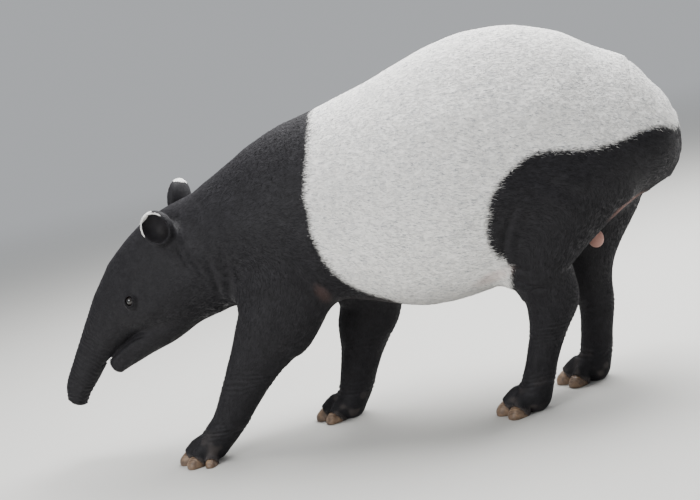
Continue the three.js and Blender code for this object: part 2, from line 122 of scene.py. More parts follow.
LEGS: dict[str, Rows] = {
    "fore_left": (
        (-170, -108, 640, 62, 150, 130, 0),
        (-150, -130, 500, 76, 130, 122, 0),
        (-216, -130, 376, 72, 121, 112, 0),
        (-262, -124, 320, 64, 107, 88, 0),
        (-317, -120, 256, 56, 82, 68, 0),
        (-384, -118, 168, 50, 61, 56, 0),
        (-436, -118, 102, 47, 49, 50, 0),
        (-484, -118, 50, 54, 48, 44, 0),
    ),
    "fore_right": (
        (-130, 108, 620, 62, 150, 130, 0),
        (-10, 130, 450, 76, 118, 118, 0),
        (2, 126, 340, 68, 96, 98, 0),
        (-28, 118, 258, 60, 82, 82, 0),
        (-52, 112, 190, 52, 63, 63, 0),
        (-74, 110, 130, 48, 55, 55, 0),
        (-92, 110, 82, 47, 51, 50, 0),
        (-110, 110, 44, 54, 50, 44, 0),
    ),
    "hind_left": (
        (735, -100, 700, 90, 200, 150, 0),
        (640, -132, 560, 98, 195, 106, 0),
        (544, -134, 430, 92, 116, 76, 0),
        (541, -126, 370, 80, 90, 78, 0),
        (544, -120, 312, 66, 79, 76, 0),
        (528, -114, 255, 53, 59, 60, 0),
        (510, -108, 203, 46, 48, 50, 0),
        (490, -106, 150, 44, 44, 46, 0),
        (473, -105, 102, 44, 44, 46, 0),
        (455, -105, 50, 53, 46, 46, 0),
    ),
    "hind_right": (
        (760, 100, 700, 90, 185, 140, 0),
        (722, 130, 545, 96, 165, 122, 0),
        (676, 126, 420, 84, 116, 92, 0),
        (660, 116, 330, 64, 76, 66, 0),
        (659, 110, 225, 48, 52, 53, 0),
        (648, 106, 150, 44, 47, 48, 0),
        (637, 104, 96, 44, 46, 48, 0),
        (626, 104, 48, 53, 46, 46, 0),
    ),
}

# Toes fan out ahead of the foot: turn from straight ahead in degrees, reach, size of the hoof
TOES: dict[str, Rows] = {
    "fore": ((-38, 62, 0.92), (0, 78, 1.08), (38, 64, 0.95), (82, 56, 0.66)),
    "hind": ((-39, 66, 0.94), (0, 78, 1.08), (39, 66, 0.94)),
}
HOOF_RADII = np.array((32.0, 23.4, 25.0))

# Where the white saddle begins behind the shoulders and ends on the haunches, as x and z
SADDLE_FRONT: Rows = (
    (-10, 1060), (-23, 940), (-20, 889), (-28, 840), (-46, 739), (-50, 660), (-46, 600), (-30, 536),
    (-12, 500), (6, 467), (38, 433), (72, 408), (112, 384), (140, 340), (150, 280),
)
SADDLE_REAR: Rows = (
    (430, 280), (446, 385), (455, 420), (447, 444), (429, 470), (416, 505), (414, 540), (423, 580),
    (442, 629), (476, 670), (521, 704), (557, 720), (602, 724), (664, 714), (741, 706), (808, 714),
    (877, 720), (918, 714), (966, 698), (1060, 690),
)

# Thin-haired places as x and z, half lengths, tilt in degrees and how bare they are
BARE_PATCHES = (
    ((402, 410), (74, 24), 20, 0.34),
    ((785, 528), (62, 13), 22, 0.45),
    ((-64, 446), (20, 42), 20, 0.1),
)


def unit(vectors: np.ndarray) -> np.ndarray:
    """Returns the vectors at length one."""
    return vectors / np.maximum(np.linalg.norm(vectors, axis=-1, keepdims=True), 1e-9)


def dot(a: np.ndarray, b: np.ndarray) -> np.ndarray:
    """Returns the row by row scalar product."""
    return np.einsum("...i,...i->...", a, b)


def smooth(low: float, high: float, values: np.ndarray) -> np.ndarray:
    """Returns a soft step that is 0 at low and 1 at high."""
    share = np.clip((values - low) / (high - low), 0, 1)
    return share * share * (3 - 2 * share)


def turned_axes(degrees: float) -> np.ndarray:
    """Returns the matrix whose columns are the axes of a frame that is turned in its plane."""
    c, s = math.cos(math.radians(degrees)), math.sin(math.radians(degrees))
    return np.array(((c, -s), (s, c)))


def join(a: np.ndarray, b: np.ndarray, blend: float) -> np.ndarray:
    """Returns the smooth union of two distances, with a fillet as wide as blend."""
    overlap = np.maximum(blend - np.abs(a - b), 0) / blend
    return np.minimum(a, b) - overlap * overlap * blend / 4


def carve(a: np.ndarray, b: np.ndarray, blend: float) -> np.ndarray:
    """Returns the distance to a with b cut out of it, with a rounded edge as wide as blend."""
    return -join(-a, b, blend)


def curve_through(rows: Rows, samples: int) -> np.ndarray:
    """Draws a smooth curve through the rows of a table, column by column.

    Args:
        rows: The table, at least two rows.
        samples: How many points the curve gets.

    Returns:
        One row for each point.
    """
    table = np.array(rows, float)
    padded = np.vstack([2 * table[0] - table[1], table, 2 * table[-1] - table[-2]])
    place = np.linspace(0, len(table) - 1, samples)
    index = np.minimum(place.astype(int), len(table) - 2)
    f = (place - index)[:, None]
    a, b, c, d = (padded[index + k] for k in range(4))
    bend, twist = 2 * a - 5 * b + 4 * c - d, 3 * b - a - 3 * c + d
    return 0.5 * (2 * b + (c - a) * f + bend * f**2 + twist * f**3)


def in_parts(function: Callable, points: np.ndarray, size: int = 40000) -> np.ndarray:
    """Runs a function over many points, some at a time and on every core.

    Args:
        function: Takes points and returns one row for each.
        points: The points, one a row.
        size: How many points one run takes.

    Returns:
        The rows for all points, in order.
    """
    if len(points) <= size:
        return function(points)
    parts = [points[i : i + size] for i in range(0, len(points), size)]
    with ThreadPoolExecutor(4) as pool:
        return np.concatenate(list(pool.map(function, parts)))


def frame_along(out: np.ndarray, side: np.ndarray) -> np.ndarray:
    """Returns three axes as rows: the first lies towards side, the third is out."""
    z = unit(np.asarray(out, float))
    x = unit(np.asarray(side, float) - z * np.dot(side, z))
    return np.array([x, np.cross(z, x), z])


@dataclass(frozen=True)
class Grain:
    """Smooth random values in space, the same at every run."""

    seed: int
    entries: int = 8192

    def at(self, points: np.ndarray, size: float | tuple[float, float, float]) -> np.ndarray:
        """Looks the values up.

        Args:
            points: Where, in millimetres.
            size: How far apart the random values lie.

        Returns:
            Values from about -1 to 1.
        """
        table = np.random.default_rng(self.seed).uniform(-1, 1, self.entries)
        scaled = points / np.asarray(size, float)
        cell = np.floor(scaled).astype(np.int64)
        f = scaled - cell
        f = f * f * (3 - 2 * f)
        total = np.zeros(len(points))
        for corner in CORNERS:
            at = cell + corner
            key = (at[:, 0] * 73856093) ^ (at[:, 1] * 19349663) ^ (at[:, 2] * 83492791)
            share = np.prod(np.where(corner, f, 1 - f), axis=1)
            total += table[(key ^ (key >> 11)) % self.entries] * share
        return total


@dataclass
class Limb:
    """One fleshy form: oval sections along a curved axis.

    Args:
        rows: The sections.
        caps: How far each end bulges past its last section.
        blend: How wide its fillet to the limbs before it is.
        samples: How many sections the curve gets.
    """

    rows: Rows
    caps: tuple[float, float]
    blend: float
    samples: int = 60
    table: np.ndarray = field(init=False)
    low: np.ndarray = field(init=False)
    high: np.ndarray = field(init=False)

    def __post_init__(self) -> None:
        """Works out the axis frames and the box that the limb lies in."""
        raw = curve_through(self.rows, self.samples)
        centre = raw[:, :3]
        along = unit(np.vstack([centre[1:], centre[-1]]) - np.vstack([centre[0], centre[:-1]]))
        across = unit(np.array((0, 1, 0)) - along * along[:, 1:2])
        upward = np.cross(across, along)
        self.table = np.hstack([centre, across, upward, along, raw[:, 3:]])
        reach = raw[:, 3:6].max(1)[:, None]
        self.low = (centre - reach).min(0) - self.blend
        self.high = (centre + reach).max(0) + self.blend

    def follow(self, points: np.ndarray) -> np.ndarray:
        """Returns the place on the axis nearest to each point, as a fractional section number."""
        centre = self.table[:, :3]
        nearest = np.argmin(dot(centre, centre) - 2 * points @ centre.T, axis=1)
        least = np.full(len(points), np.inf)
        place = np.zeros(len(points))
        for first in (nearest - 1, nearest):
            k = np.clip(first, 0, self.samples - 2)
            step = centre[k + 1] - centre[k]
            away = points - centre[k]
            share = np.clip(dot(away, step) / dot(step, step), 0, 1)
            away = away - step * share[:, None]
            gap = dot(away, away)
            place = np.where(gap < least, k + share, place)
            least = np.minimum(gap, least)
        return place

    def local(self, points: np.ndarray) -> tuple[np.ndarray, np.ndarray, np.ndarray]:
        """Places points in the limb's own sections.

        Args:
            points: Where.

        Returns:
            The distance to the skin, the fractional section number, and the angle round the axis.
        """
        place = self.follow(points)
        k = np.minimum(place.astype(int), self.samples - 2)
        share = (place - k)[:, None]
        row = self.table[k] * (1 - share) + self.table[k + 1] * share
        away = points - row[:, :3]
        x, y, w = dot(away, row[:, 3:6]), dot(away, row[:, 6:9]), dot(away, row[:, 9:12])
        v = y / np.where(y > 0, row[:, 13], row[:, 14])
        half = row[:, 12] * (1 - row[:, 15] * np.clip(v, -1.3, 1.3))
        start = (place <= 0) & (w < 0)
        end = (place >= self.samples - 1) & (w > 0)
        past = np.where(start | end, w, 0)
        cap = np.where(start, self.caps[0], self.caps[1])
        fill = np.maximum(np.sqrt((x / half) ** 2 + v * v + (past / cap) ** 2), 1e-6)
        distance = np.sqrt(x * x + y * y + past * past) * (1 - 1 / fill)
        distance = np.where(fill < 1e-5, -half, distance)
        return distance, place, np.arctan2(v, x / half)

    def distance(self, points: np.ndarray) -> np.ndarray:
        """Returns how far the points lie outside the limb, negative inside."""
        outside = np.linalg.norm(np.maximum(np.maximum(self.low - points, points - self.high), 0), axis=1)
        near = outside <= 0
        result = outside + self.blend
        if near.any():
            result[near] = self.local(points[near])[0]
        return result


@dataclass(frozen=True)
class Egg:
    """An egg-shaped form with its three radii along the axes of a frame."""

    centre: np.ndarray
    radii: np.ndarray
    axes: np.ndarray = field(default_factory=lambda: np.eye(3))

    def distance(self, points: np.ndarray) -> np.ndarray:
        """Returns how far the points lie outside the egg, negative inside."""
        local = (points - self.centre) @ self.axes.T
        away = np.linalg.norm(local, axis=1)
        fill = np.maximum(np.linalg.norm(local / self.radii, axis=1), 1e-6)
        return away * (1 - 1 / fill)


@dataclass(frozen=True)
class Nail:
    """A hoof's form: an egg with fuller corners.

    Args:
        centre: Its middle.
        radii: Its reach along each axis.
        axes: Ahead, aside and up as rows.
        fullness: 2 for a plain egg, more for fuller corners.
    """

    centre: np.ndarray
    radii: np.ndarray
    axes: np.ndarray
    fullness: float = 2.7

    def fill(self, local: np.ndarray) -> np.ndarray:
        """Returns 1 for places on the form, in its own axes, and less inside it."""
        total = (np.abs(local / self.radii) ** self.fullness).sum(1)
        return np.maximum(total, 1e-9) ** (1 / self.fullness)

    def distance(self, points: np.ndarray) -> np.ndarray:
        """Returns how far the points lie outside the form, negative inside."""
        local = (points - self.centre) @ self.axes.T
        return np.linalg.norm(local, axis=1) * (1 - 1 / self.fill(local))


@dataclass(frozen=True)
class Toe:
    """One toe: the hoof's frame and place, and the flesh behind it."""

    ahead: np.ndarray
    tip: np.ndarray
    knuckle: np.ndarray
    scale: float

    def limb(self) -> Limb:
        """Returns the flesh from the knuckle to the tip."""
        thick, high = 24 * self.scale, 27 * self.scale
        middle = self.knuckle + (self.tip - self.knuckle) * 0.55
        rows = (
            (self.knuckle[0], self.knuckle[1], 52, thick * 1.05, high, high, 0),
            (middle[0], middle[1], 38 * self.scale + 4, thick, high, high, 0),
            (self.tip[0], self.tip[1], 26 * self.scale, thick * 0.9, high * 0.9, high * 0.9, 0),
        )
        return Limb(rows, (20, 20 * self.scale), 12, 8)

    def axes(self) -> np.ndarray:
        """Returns ahead, aside and up as rows."""
        return np.array([self.ahead, (-self.ahead[1], self.ahead[0], 0), (0, 0, 1)])

    def hoof(self, grow: float = 0) -> Nail:
        """Returns the form of the hoof."""
        centre = self.tip + self.ahead * 8 * self.scale
        centre[2] = 8 * self.scale
        return Nail(centre, HOOF_RADII * self.scale + grow, self.axes())

    def cuticle(self, points: np.ndarray) -> np.ndarray:
        """Returns the distance to the soft rim of skin that the hoof grows out of."""
        return np.maximum(self.hoof(3.5).distance(points), self.lead(points))

    def bared(self, points: np.ndarray) -> np.ndarray:
        """Returns the distance to the room round the free part of the hoof."""
        return np.maximum(self.hoof(7).distance(points), -self.lead(points))

    def lead(self, points: np.ndarray) -> np.ndarray:
        """Returns how far points lie ahead of the slanting edge where the hoof comes out of the skin."""
        ahead = (points - self.hoof().centre) @ self.ahead
        return ahead + 15 * self.scale - 0.62 * points[:, 2]


@dataclass(frozen=True)
class Ear:
    """A deep oval cup on a short root. The left one swings out and the right one stands up."""

    side: int
    height: float
    root: tuple[float, float, float]
    tip: tuple[float, float, float]
    opens: tuple[float, float, float]
    width: float = 92
    depth: float = 56
    wall: float = 7

    def axes(self) -> np.ndarray:
        """Returns up, across and out of the cup as rows."""
        return frame_along(np.array(self.opens), np.array(self.tip) - self.root)

    def centre(self) -> np.ndarray:
        """Returns the middle of the cup."""
        return np.array(self.root) + 0.55 * (np.array(self.tip) - self.root)

    def shell(self, grow: float) -> Egg:
        """Returns the outer form of the cup."""
        radii = np.array((self.height, self.width, self.depth)) / 2 + grow
        return Egg(self.centre(), radii, self.axes())

    def bowl(self) -> Egg:
        """Returns the hollow of the cup."""
        radii = np.array((self.height / 2 - self.wall, self.width / 2 - self.wall, self.depth * 0.72))
        return Egg(self.centre() + self.axes()[2] * self.depth * 0.42, radii, self.axes())

    def stalk(self, grow: float) -> Egg:
        """Returns the root that carries the cup."""
        base = np.array(self.root) + 0.1 * (np.array(self.tip) - self.root)
        return Egg(base, np.array((44.0, 30.0, 26.0)) + grow, self.axes())

    def distance(self, points: np.ndarray) -> np.ndarray:
        """Returns how far the points lie outside the ear, negative inside."""
        whole = join(self.shell(COAT_DEPTH).distance(points), self.stalk(COAT_DEPTH).distance(points), 9)
        return carve(whole, self.bowl().distance(points), 4)


@dataclass(frozen=True)
class EyeSocket:
    """Where an eye sits, and the lids round it."""

    side: int
    centre: np.ndarray
    out: np.ndarray

    def axes(self) -> np.ndarray:
        """Returns the long way of the lids, the short way and out as rows."""
        return frame_along(self.out, np.array((-0.6, 0, -0.75)))

    def lids(self) -> Egg:
        """Returns the swelling of both lids."""
        return Egg(self.centre, np.array((25.0, 22.0, EYE_RADIUS)) + LID_THICKNESS, self.axes())

    def opening(self) -> Egg:
        """Returns the almond between the lids."""
        return Egg(self.centre + self.out * 21, np.array((17.0, 13.0, 19.0)), self.axes())

    def ball(self) -> Egg:
        """Returns the room that the eyeball takes."""
        return Egg(self.centre, np.full(3, EYE_RADIUS + 0.5), self.axes())


@dataclass(frozen=True)
class Swell:
    """A soft rise or hollow of the skin over muscle or bone, seen from one side of the animal.

    Args:
        at: Its middle, as x and z.
        size: Its two half lengths.
        height: How far it rises, negative for a hollow.
        tilt: How far the first half length turns from ahead towards down, in degrees.
        side: -1 for the left side, 1 for the right one, 0 for both.
    """

    at: tuple[float, float]
    size: tuple[float, float]
    height: float
    tilt: float = 0
    side: int = 0


@dataclass(frozen=True)
class Crease:
    """A fold of the skin along a curve, with a lip on either side of it."""

    line: Rows
    width: float
    depth: float
    side: int = 0
    lip: float = 0.45


class MouthLine:
    """The line of the closed lips, from the cheek to the notch behind the snout, as x and z."""

    LINE: Rows = ((-640, 380), (-668, 377), (-701, 367), (-745, 345), (-782, 325), (-806, 314))

    @classmethod
    def gap(cls, points: np.ndarray) -> np.ndarray:
        """Returns how far points lie from the line, seen from the side."""
        return line_distance(points[:, (0, 2)], curve_through(cls.LINE, 16))

    @classmethod
    def shade(cls, points: np.ndarray) -> np.ndarray:
        """Returns how much painted shade darkens the line at points on the skin."""
        return smooth(2.6, 0.8, cls.gap(points)) * smooth(-640, -720, points[:, 0])


class Lie(Enum):
    """Which way the hair lies, measured against the limb's axis."""

    WITH_AXIS = 1
    AGAINST_AXIS = -1


@dataclass
class Anatomy:
    """All the flesh of the tapir, as one field of distances.

    Args:
        nostril: The middle of the two nostrils.
        bulbs: The bare bulbs between the thighs.
    """

    nostril: tuple[float, float, float] = (-955, 62, 198)
    bulbs: tuple[Egg, ...] = (
        Egg(np.array((669.0, -6, 470)), np.array((33.0, 26, 36))),
        Egg(np.array((690.0, 2, 428)), np.array((23.0, 20, 26))),
    )
    trunk: Limb = field(init=False)
    jaw: Limb = field(init=False)
    tail: Limb = field(init=False)
    legs: dict[str, Limb] = field(init=False)
    toes: dict[str, list[Toe]] = field(init=False)
    all_toes: list[Toe] = field(init=False)
    limbs: list[Limb] = field(init=False)
    eyes: list[EyeSocket] = field(init=False)
    ears: list[Ear] = field(init=False)

    def __post_init__(self) -> None:
        """Builds the limbs and sets the eyes and ears on them."""
        self.trunk = Limb(TRUNK, (9, 11), 60, 290)
        self.jaw = Limb(JAW, (60, 17), 18, 30)
        self.tail = Limb(TAIL, (20, 12), 14, 20)
        self.legs = {
            name: Limb(rows, (90, 62), 75 if name.startswith("hind") else 85) for name, rows in LEGS.items()
        }
        self.toes = {name: self.toes_of(name) for name in LEGS}
        self.all_toes = [toe for toes in self.toes.values() for toe in toes]
        toe_limbs = [toe.limb() for toe in self.all_toes]
        self.limbs = [self.trunk, *self.legs.values(), *toe_limbs, self.jaw, self.tail]
        self.ears = [
            Ear(-1, 106, (-472, -88, 652), (-542, -140, 736), (-0.12, -0.95, 0.12)),
            Ear(1, 118, (-520, 88, 664), (-488, 134, 820), (-0.95, 0.3, 0.1)),
        ]
        self.eyes = [self.eye_socket(side) for side in (-1, 1)]

    @staticmethod
    def toes_of(name: str) -> list[Toe]:
        """Returns the toes of one foot."""
        pair, side = name.split("_")
        outward = -1 if side == "left" else 1
        foot = np.array((*LEGS[name][-1][:2], 0.0))
        toes = []
        for turn, reach, scale in TOES[pair]:
            angle = math.radians(turn)
            ahead = np.array((-math.cos(angle), outward * math.sin(angle), 0.0))
            toes.append(Toe(ahead, foot + ahead * reach, foot + ahead * reach * 0.25, scale))
        return toes

    def eye_socket(self, side: int) -> EyeSocket:
        """Returns the socket on one side, set into the skin."""
        out = unit(np.array((-0.3, side, 0.08)))
        skin = self.skin_point(np.array((-633.0, 22, 494)), np.array((-0.22, side, 0.06)))
        return EyeSocket(side, skin - out * 8, out)

    def skin_point(self, origin: np.ndarray, direction: np.ndarray) -> np.ndarray:
        """Returns where a ray from inside the body meets the plain flesh."""
        ray = unit(direction)
        low, high = 0.0, 400.0
        for _ in range(24):
            middle = (low + high) / 2
            inside = self.flesh((origin + ray * middle)[None])[0] < 0
            low, high = (middle, high) if inside else (low, middle)
        return origin + ray * low

    def flesh(self, points: np.ndarray) -> np.ndarray:
        """Returns the distance to the plain flesh without lids, ears and openings."""
        nearest = self.limbs[0].distance(points)
        for limb in self.limbs[1:]:
            nearest = join(nearest, limb.distance(points), limb.blend)
        return nearest

    def distance(self, points: np.ndarray) -> np.ndarray:
        """Returns the distance to the whole skin, negative inside."""
        near = self.flesh(points) + COAT_DEPTH
        head = (points[:, 0] < HEAD_BEGINS) & (points[:, 2] > FEET_REACH)
        if head.any():
            near[head] = self.head_forms(points[head], near[head])
        for bulb in self.bulbs:
            near = join(near, bulb.distance(points), 9)
        foot = points[:, 2] < FEET_REACH
        if foot.any():
            for toe in self.all_toes:
                near[foot] = join(near[foot], toe.cuticle(points[foot]), 7)
            for toe in self.all_toes:
                near[foot] = carve(near[foot], toe.bared(points[foot]), 3)
                near[foot] = carve(near[foot], toe.hoof(0.6).distance(points[foot]), 1.5)
        return np.maximum(near, 0.3 - points[:, 2])

    def head_forms(self, points: np.ndarray, near: np.ndarray) -> np.ndarray:
        """Returns the distance with ears, lids and nostrils added to the head."""
        for ear in self.ears:
            near = join(near, ear.stalk(COAT_DEPTH).distance(points), 30)
            near = join(near, ear.distance(points), 12)
            near = carve(near, ear.bowl().distance(points), 4)
        for eye in self.eyes:
            brow = Egg(eye.centre + (10, -4 * eye.side, 24), np.array((44.0, 15, 11)), eye.axes())
            near = join(near, brow.distance(points), 16)
            near = join(near, eye.lids().distance(points), 9)
            near = carve(near, eye.opening().distance(points), 2.5)
            near = carve(near, eye.ball().distance(points), 1)
        front = frame_along(np.array((-0.5, 0, 0.87)), np.array((-0.87, 0, -0.5)))
        notch = Egg(np.array((-819.0, 42, 308)), np.array((22.0, 60, 3)), front)
        near = carve(near, notch.distance(points), 4)
        for side in (-1, 1):
            middle = np.array(self.nostril) + (0, side * NOSTRIL_ASIDE, 0)
            axes = frame_along(np.array((-0.35, 0, -0.94)), np.array((0, 0, 1)))
            near = join(near, Egg(middle + (4, 0, 4), np.array((15.0, 13, 15)), axes).distance(points), 8)
            near = carve(near, Egg(middle, np.array((9.0, 7.5, 15)), axes).distance(points), 3)
        return near


@dataclass
class Relief:
    """Folds, wrinkles and swellings that are pushed out of the skin or into it."""

    grain: Grain = Grain(11)
    swells: tuple[Swell, ...] = (
        Swell((-205, 650), (60, 150), 9, 78),
        Swell((-120, 520), (85, 70), 8, 20),
        Swell((-520, 452), (60, 62), 7, 30),
        Swell((-610, 452), (60, 16), 4, 35),
        Swell((-724, 350), (64, 13), 6, 28),
        Swell((600, 838), (85, 60), 7, 10),
        Swell((640, 590), (120, 110), 7, 40),
        Swell((300, 600), (210, 170), 4, 0),
        Swell((8, 650), (34, 150), -6, 85),
        Swell((150, 520), (70, 90), 4, 60),
        Swell((330, 850), (120, 60), 4, 12),
        Swell((455, 545), (34, 105), -9, 75),
        Swell((-225, 345), (46, 70), 6, 55, -1),
        Swell((10, 330), (44, 74), 6, 95, 1),
        Swell((-330, 560), (30, 120), -5, 80),
    )
    creases: tuple[Crease, ...] = (
        Crease(((-470, 680), (-462, 628), (-446, 580), (-418, 530)), 5, 2.4),
        Crease(((-452, 668), (-436, 624), (-420, 574), (-388, 520)), 6, 2),
        Crease(((-330, 650), (-322, 590), (-330, 520), (-340, 450)), 12, 4.5),
        Crease(((-392, 640), (-378, 570), (-372, 500), (-380, 440)), 9, 2.2),
        Crease(((512, 620), (478, 548), (452, 492), (448, 430)), 9, 5),
        Crease(((420, 462), (460, 429), (516, 412)), 7, 5),
        Crease(((446, 404), (497, 370), (548, 345)), 7, 4),
        Crease(((-140, 560), (-104, 500), (-70, 450)), 10, 4),
        Crease(((560, 690), (600, 640), (650, 600), (710, 570)), 16, 3),
    )

    def facing(self, normals: np.ndarray, side: int) -> np.ndarray:
        """Returns how much the skin looks to one side, or to either side for 0."""
        turned = np.abs(normals[:, 1]) if side == 0 else normals[:, 1] * side
        return smooth(0.15, 0.6, turned)

    def height(self, points: np.ndarray, normals: np.ndarray) -> np.ndarray:
        """Works out how far each point moves out of the skin.

        Args:
            points: Points on the plain skin.
            normals: Their directions out of it.

        Returns:
            The heights in millimetres.
        """
        total = 1.3 * self.grain.at(points, 70) + 0.6 * self.grain.at(points, 30)
        total *= smooth(20, 120, points[:, 2])
        flat = points[:, (0, 2)]
        for swell in self.swells:
            u, v = ((flat - swell.at) @ turned_axes(swell.tilt) / swell.size).T
            total += swell.height * np.exp(-u * u - v * v) * self.facing(normals, swell.side)
        for crease in self.creases:
            gap = line_distance(flat, curve_through(crease.line, 12))
            ends = np.min([np.linalg.norm(flat - crease.line[end], axis=1) for end in (0, -1)], axis=0)
            groove = -np.exp(-((gap / crease.width) ** 2))
            groove += crease.lip * np.exp(-(((gap - 2.1 * crease.width) / crease.width) ** 2))
            fade = smooth(0, 0.45 * math.dist(crease.line[0], crease.line[-1]), ends)
            total += crease.depth * groove * self.facing(normals, crease.side) * fade
        gap = MouthLine.gap(points)
        lips = 0.8 * np.exp(-(((gap - 7) / 4) ** 2)) - 3.2 * np.exp(-((gap / 2.2) ** 2))
        total += lips * smooth(-635, -700, points[:, 0]) * self.facing(normals, 0)
        return total + self.wrinkles(points)

    def wrinkles(self, points: np.ndarray) -> np.ndarray:
        """Returns the fine folds across the snout, and those round the ankles and the knees."""
        wander = self.grain.at(points, 40)
        along = (points[:, 0] * 0.62 + points[:, 2] * 0.78) + 5 * wander
        snout = smooth(-770, -860, points[:, 0]) * smooth(120, 160, points[:, 2])
        total = 0.4 * snout * np.sin((along + 9 * self.grain.at(points, 26)) * math.tau / 14)
        height = points[:, 2] + 9 * wander
        for middle, reach, depth in ((92, 20, 1.3), (222, 34, 0.8)):
            fade = np.exp(-(((points[:, 2] - middle) / reach) ** 2))
            total += depth * np.sin(height * math.tau / 13) * fade
        return total


def line_distance(flat: np.ndarray, line: np.ndarray) -> np.ndarray:
    """Returns how far points in a plane lie from a broken line."""
    least = np.full(len(flat), np.inf)
    for a, b in zip(line[:-1], line[1:]):
        step = b - a
        away = flat - a
        share = np.clip(away @ step / max(step @ step, 1e-9), 0, 1)
        away = away - step * share[:, None]
        least = np.minimum(least, dot(away, away))
    return np.sqrt(least)


@dataclass
class Markings:
    """Where the white saddle lies."""

    grain: Grain = Grain(23)

    def saddle(self, points: np.ndarray) -> np.ndarray:
        """Returns how far the points lie inside the white saddle, negative on the black coat."""
        outline = np.vstack([curve_through(SADDLE_FRONT, 60), curve_through(SADDLE_REAR, 80)])
        top = np.array([(1060, 1200), (-10, 1200)])
        outline = np.vstack([outline, top, outline[:1]])
        ragged = np.stack([self.grain.at(points, 45), self.grain.at(points + 500, 45)], 1) * 4
        flat = points[:, (0, 2)] + ragged
        inside = np.zeros(len(flat), bool)
        for a, b in zip(outline[:-1], outline[1:]):
            spans = (a[1] > flat[:, 1]) != (b[1] > flat[:, 1])
            rise = b[1] - a[1] if abs(b[1] - a[1]) > 1e-9 else 1e-9
            crossing = a[0] + (flat[:, 1] - a[1]) * (b[0] - a[0]) / rise
            inside ^= spans & (flat[:, 0] < crossing)
        gap = line_distance(flat, outline)
        return np.where(inside, gap, -gap)


@dataclass
class Hide:
    """What is known of each point of the skin: its limb, its chart and the lie of its hair."""

    limb: np.ndarray
    share: np.ndarray
    angle: np.ndarray
    lie: np.ndarray
    ear: np.ndarray

    @classmethod
    def of(cls, anatomy: Anatomy, points: np.ndarray) -> "Hide":
        """Charts points on the skin.

        Args:
            anatomy: The flesh.
            points: Points on its skin.

        Returns:
            One entry for each point.
        """
        rows = in_parts(lambda part: cls.rows(anatomy, part), points)
        return cls(rows[:, 0].astype(int), rows[:, 1], rows[:, 2], unit(rows[:, 3:6]), rows[:, 6])

    @staticmethod
    def rows(anatomy: Anatomy, points: np.ndarray) -> np.ndarray:
        """Returns limb number, share of the way along it, angle, lie and nearness to an ear."""
        soft = 14.0
        turns = [Lie.WITH_AXIS] * len(anatomy.limbs)
        turns[0] = turns[-2] = Lie.AGAINST_AXIS
        best = np.full(len(points), np.inf)
        limb, share, angle = np.zeros((3, len(points)))
        lies, gaps = [], []
        for number, (form, turn) in enumerate(zip(anatomy.limbs, turns)):
            gap, place, round_axis = form.local(points)
            k = np.clip(np.round(place).astype(int), 0, form.samples - 1)
            lies.append(form.table[k, 9:12] * turn.value)
            gaps.append(gap)
            nearer = gap < best
            best = np.where(nearer, gap, best)
            limb = np.where(nearer, number, limb)
            share = np.where(nearer, place / (form.samples - 1), share)
            angle = np.where(nearer, round_axis, angle)
        weights = np.exp(-(np.array(gaps) - best) / soft)
        lie = np.einsum("ij,ijk->jk", weights, np.array(lies))
        lie[:, 2] -= 0.25 * weights[0]
        ear_gap = np.full(len(points), np.inf)
        for ear in anatomy.ears:
            gap = np.minimum(ear.distance(points), ear.stalk(0).distance(points))
            on = smooth(14, 4, gap)[:, None]
            lie = lie * (1 - on) + ear.axes()[0] * on * 3
            ear_gap = np.minimum(ear_gap, ear.distance(points))
        return np.column_stack([limb, share, angle, lie, smooth(12, 3, ear_gap)])


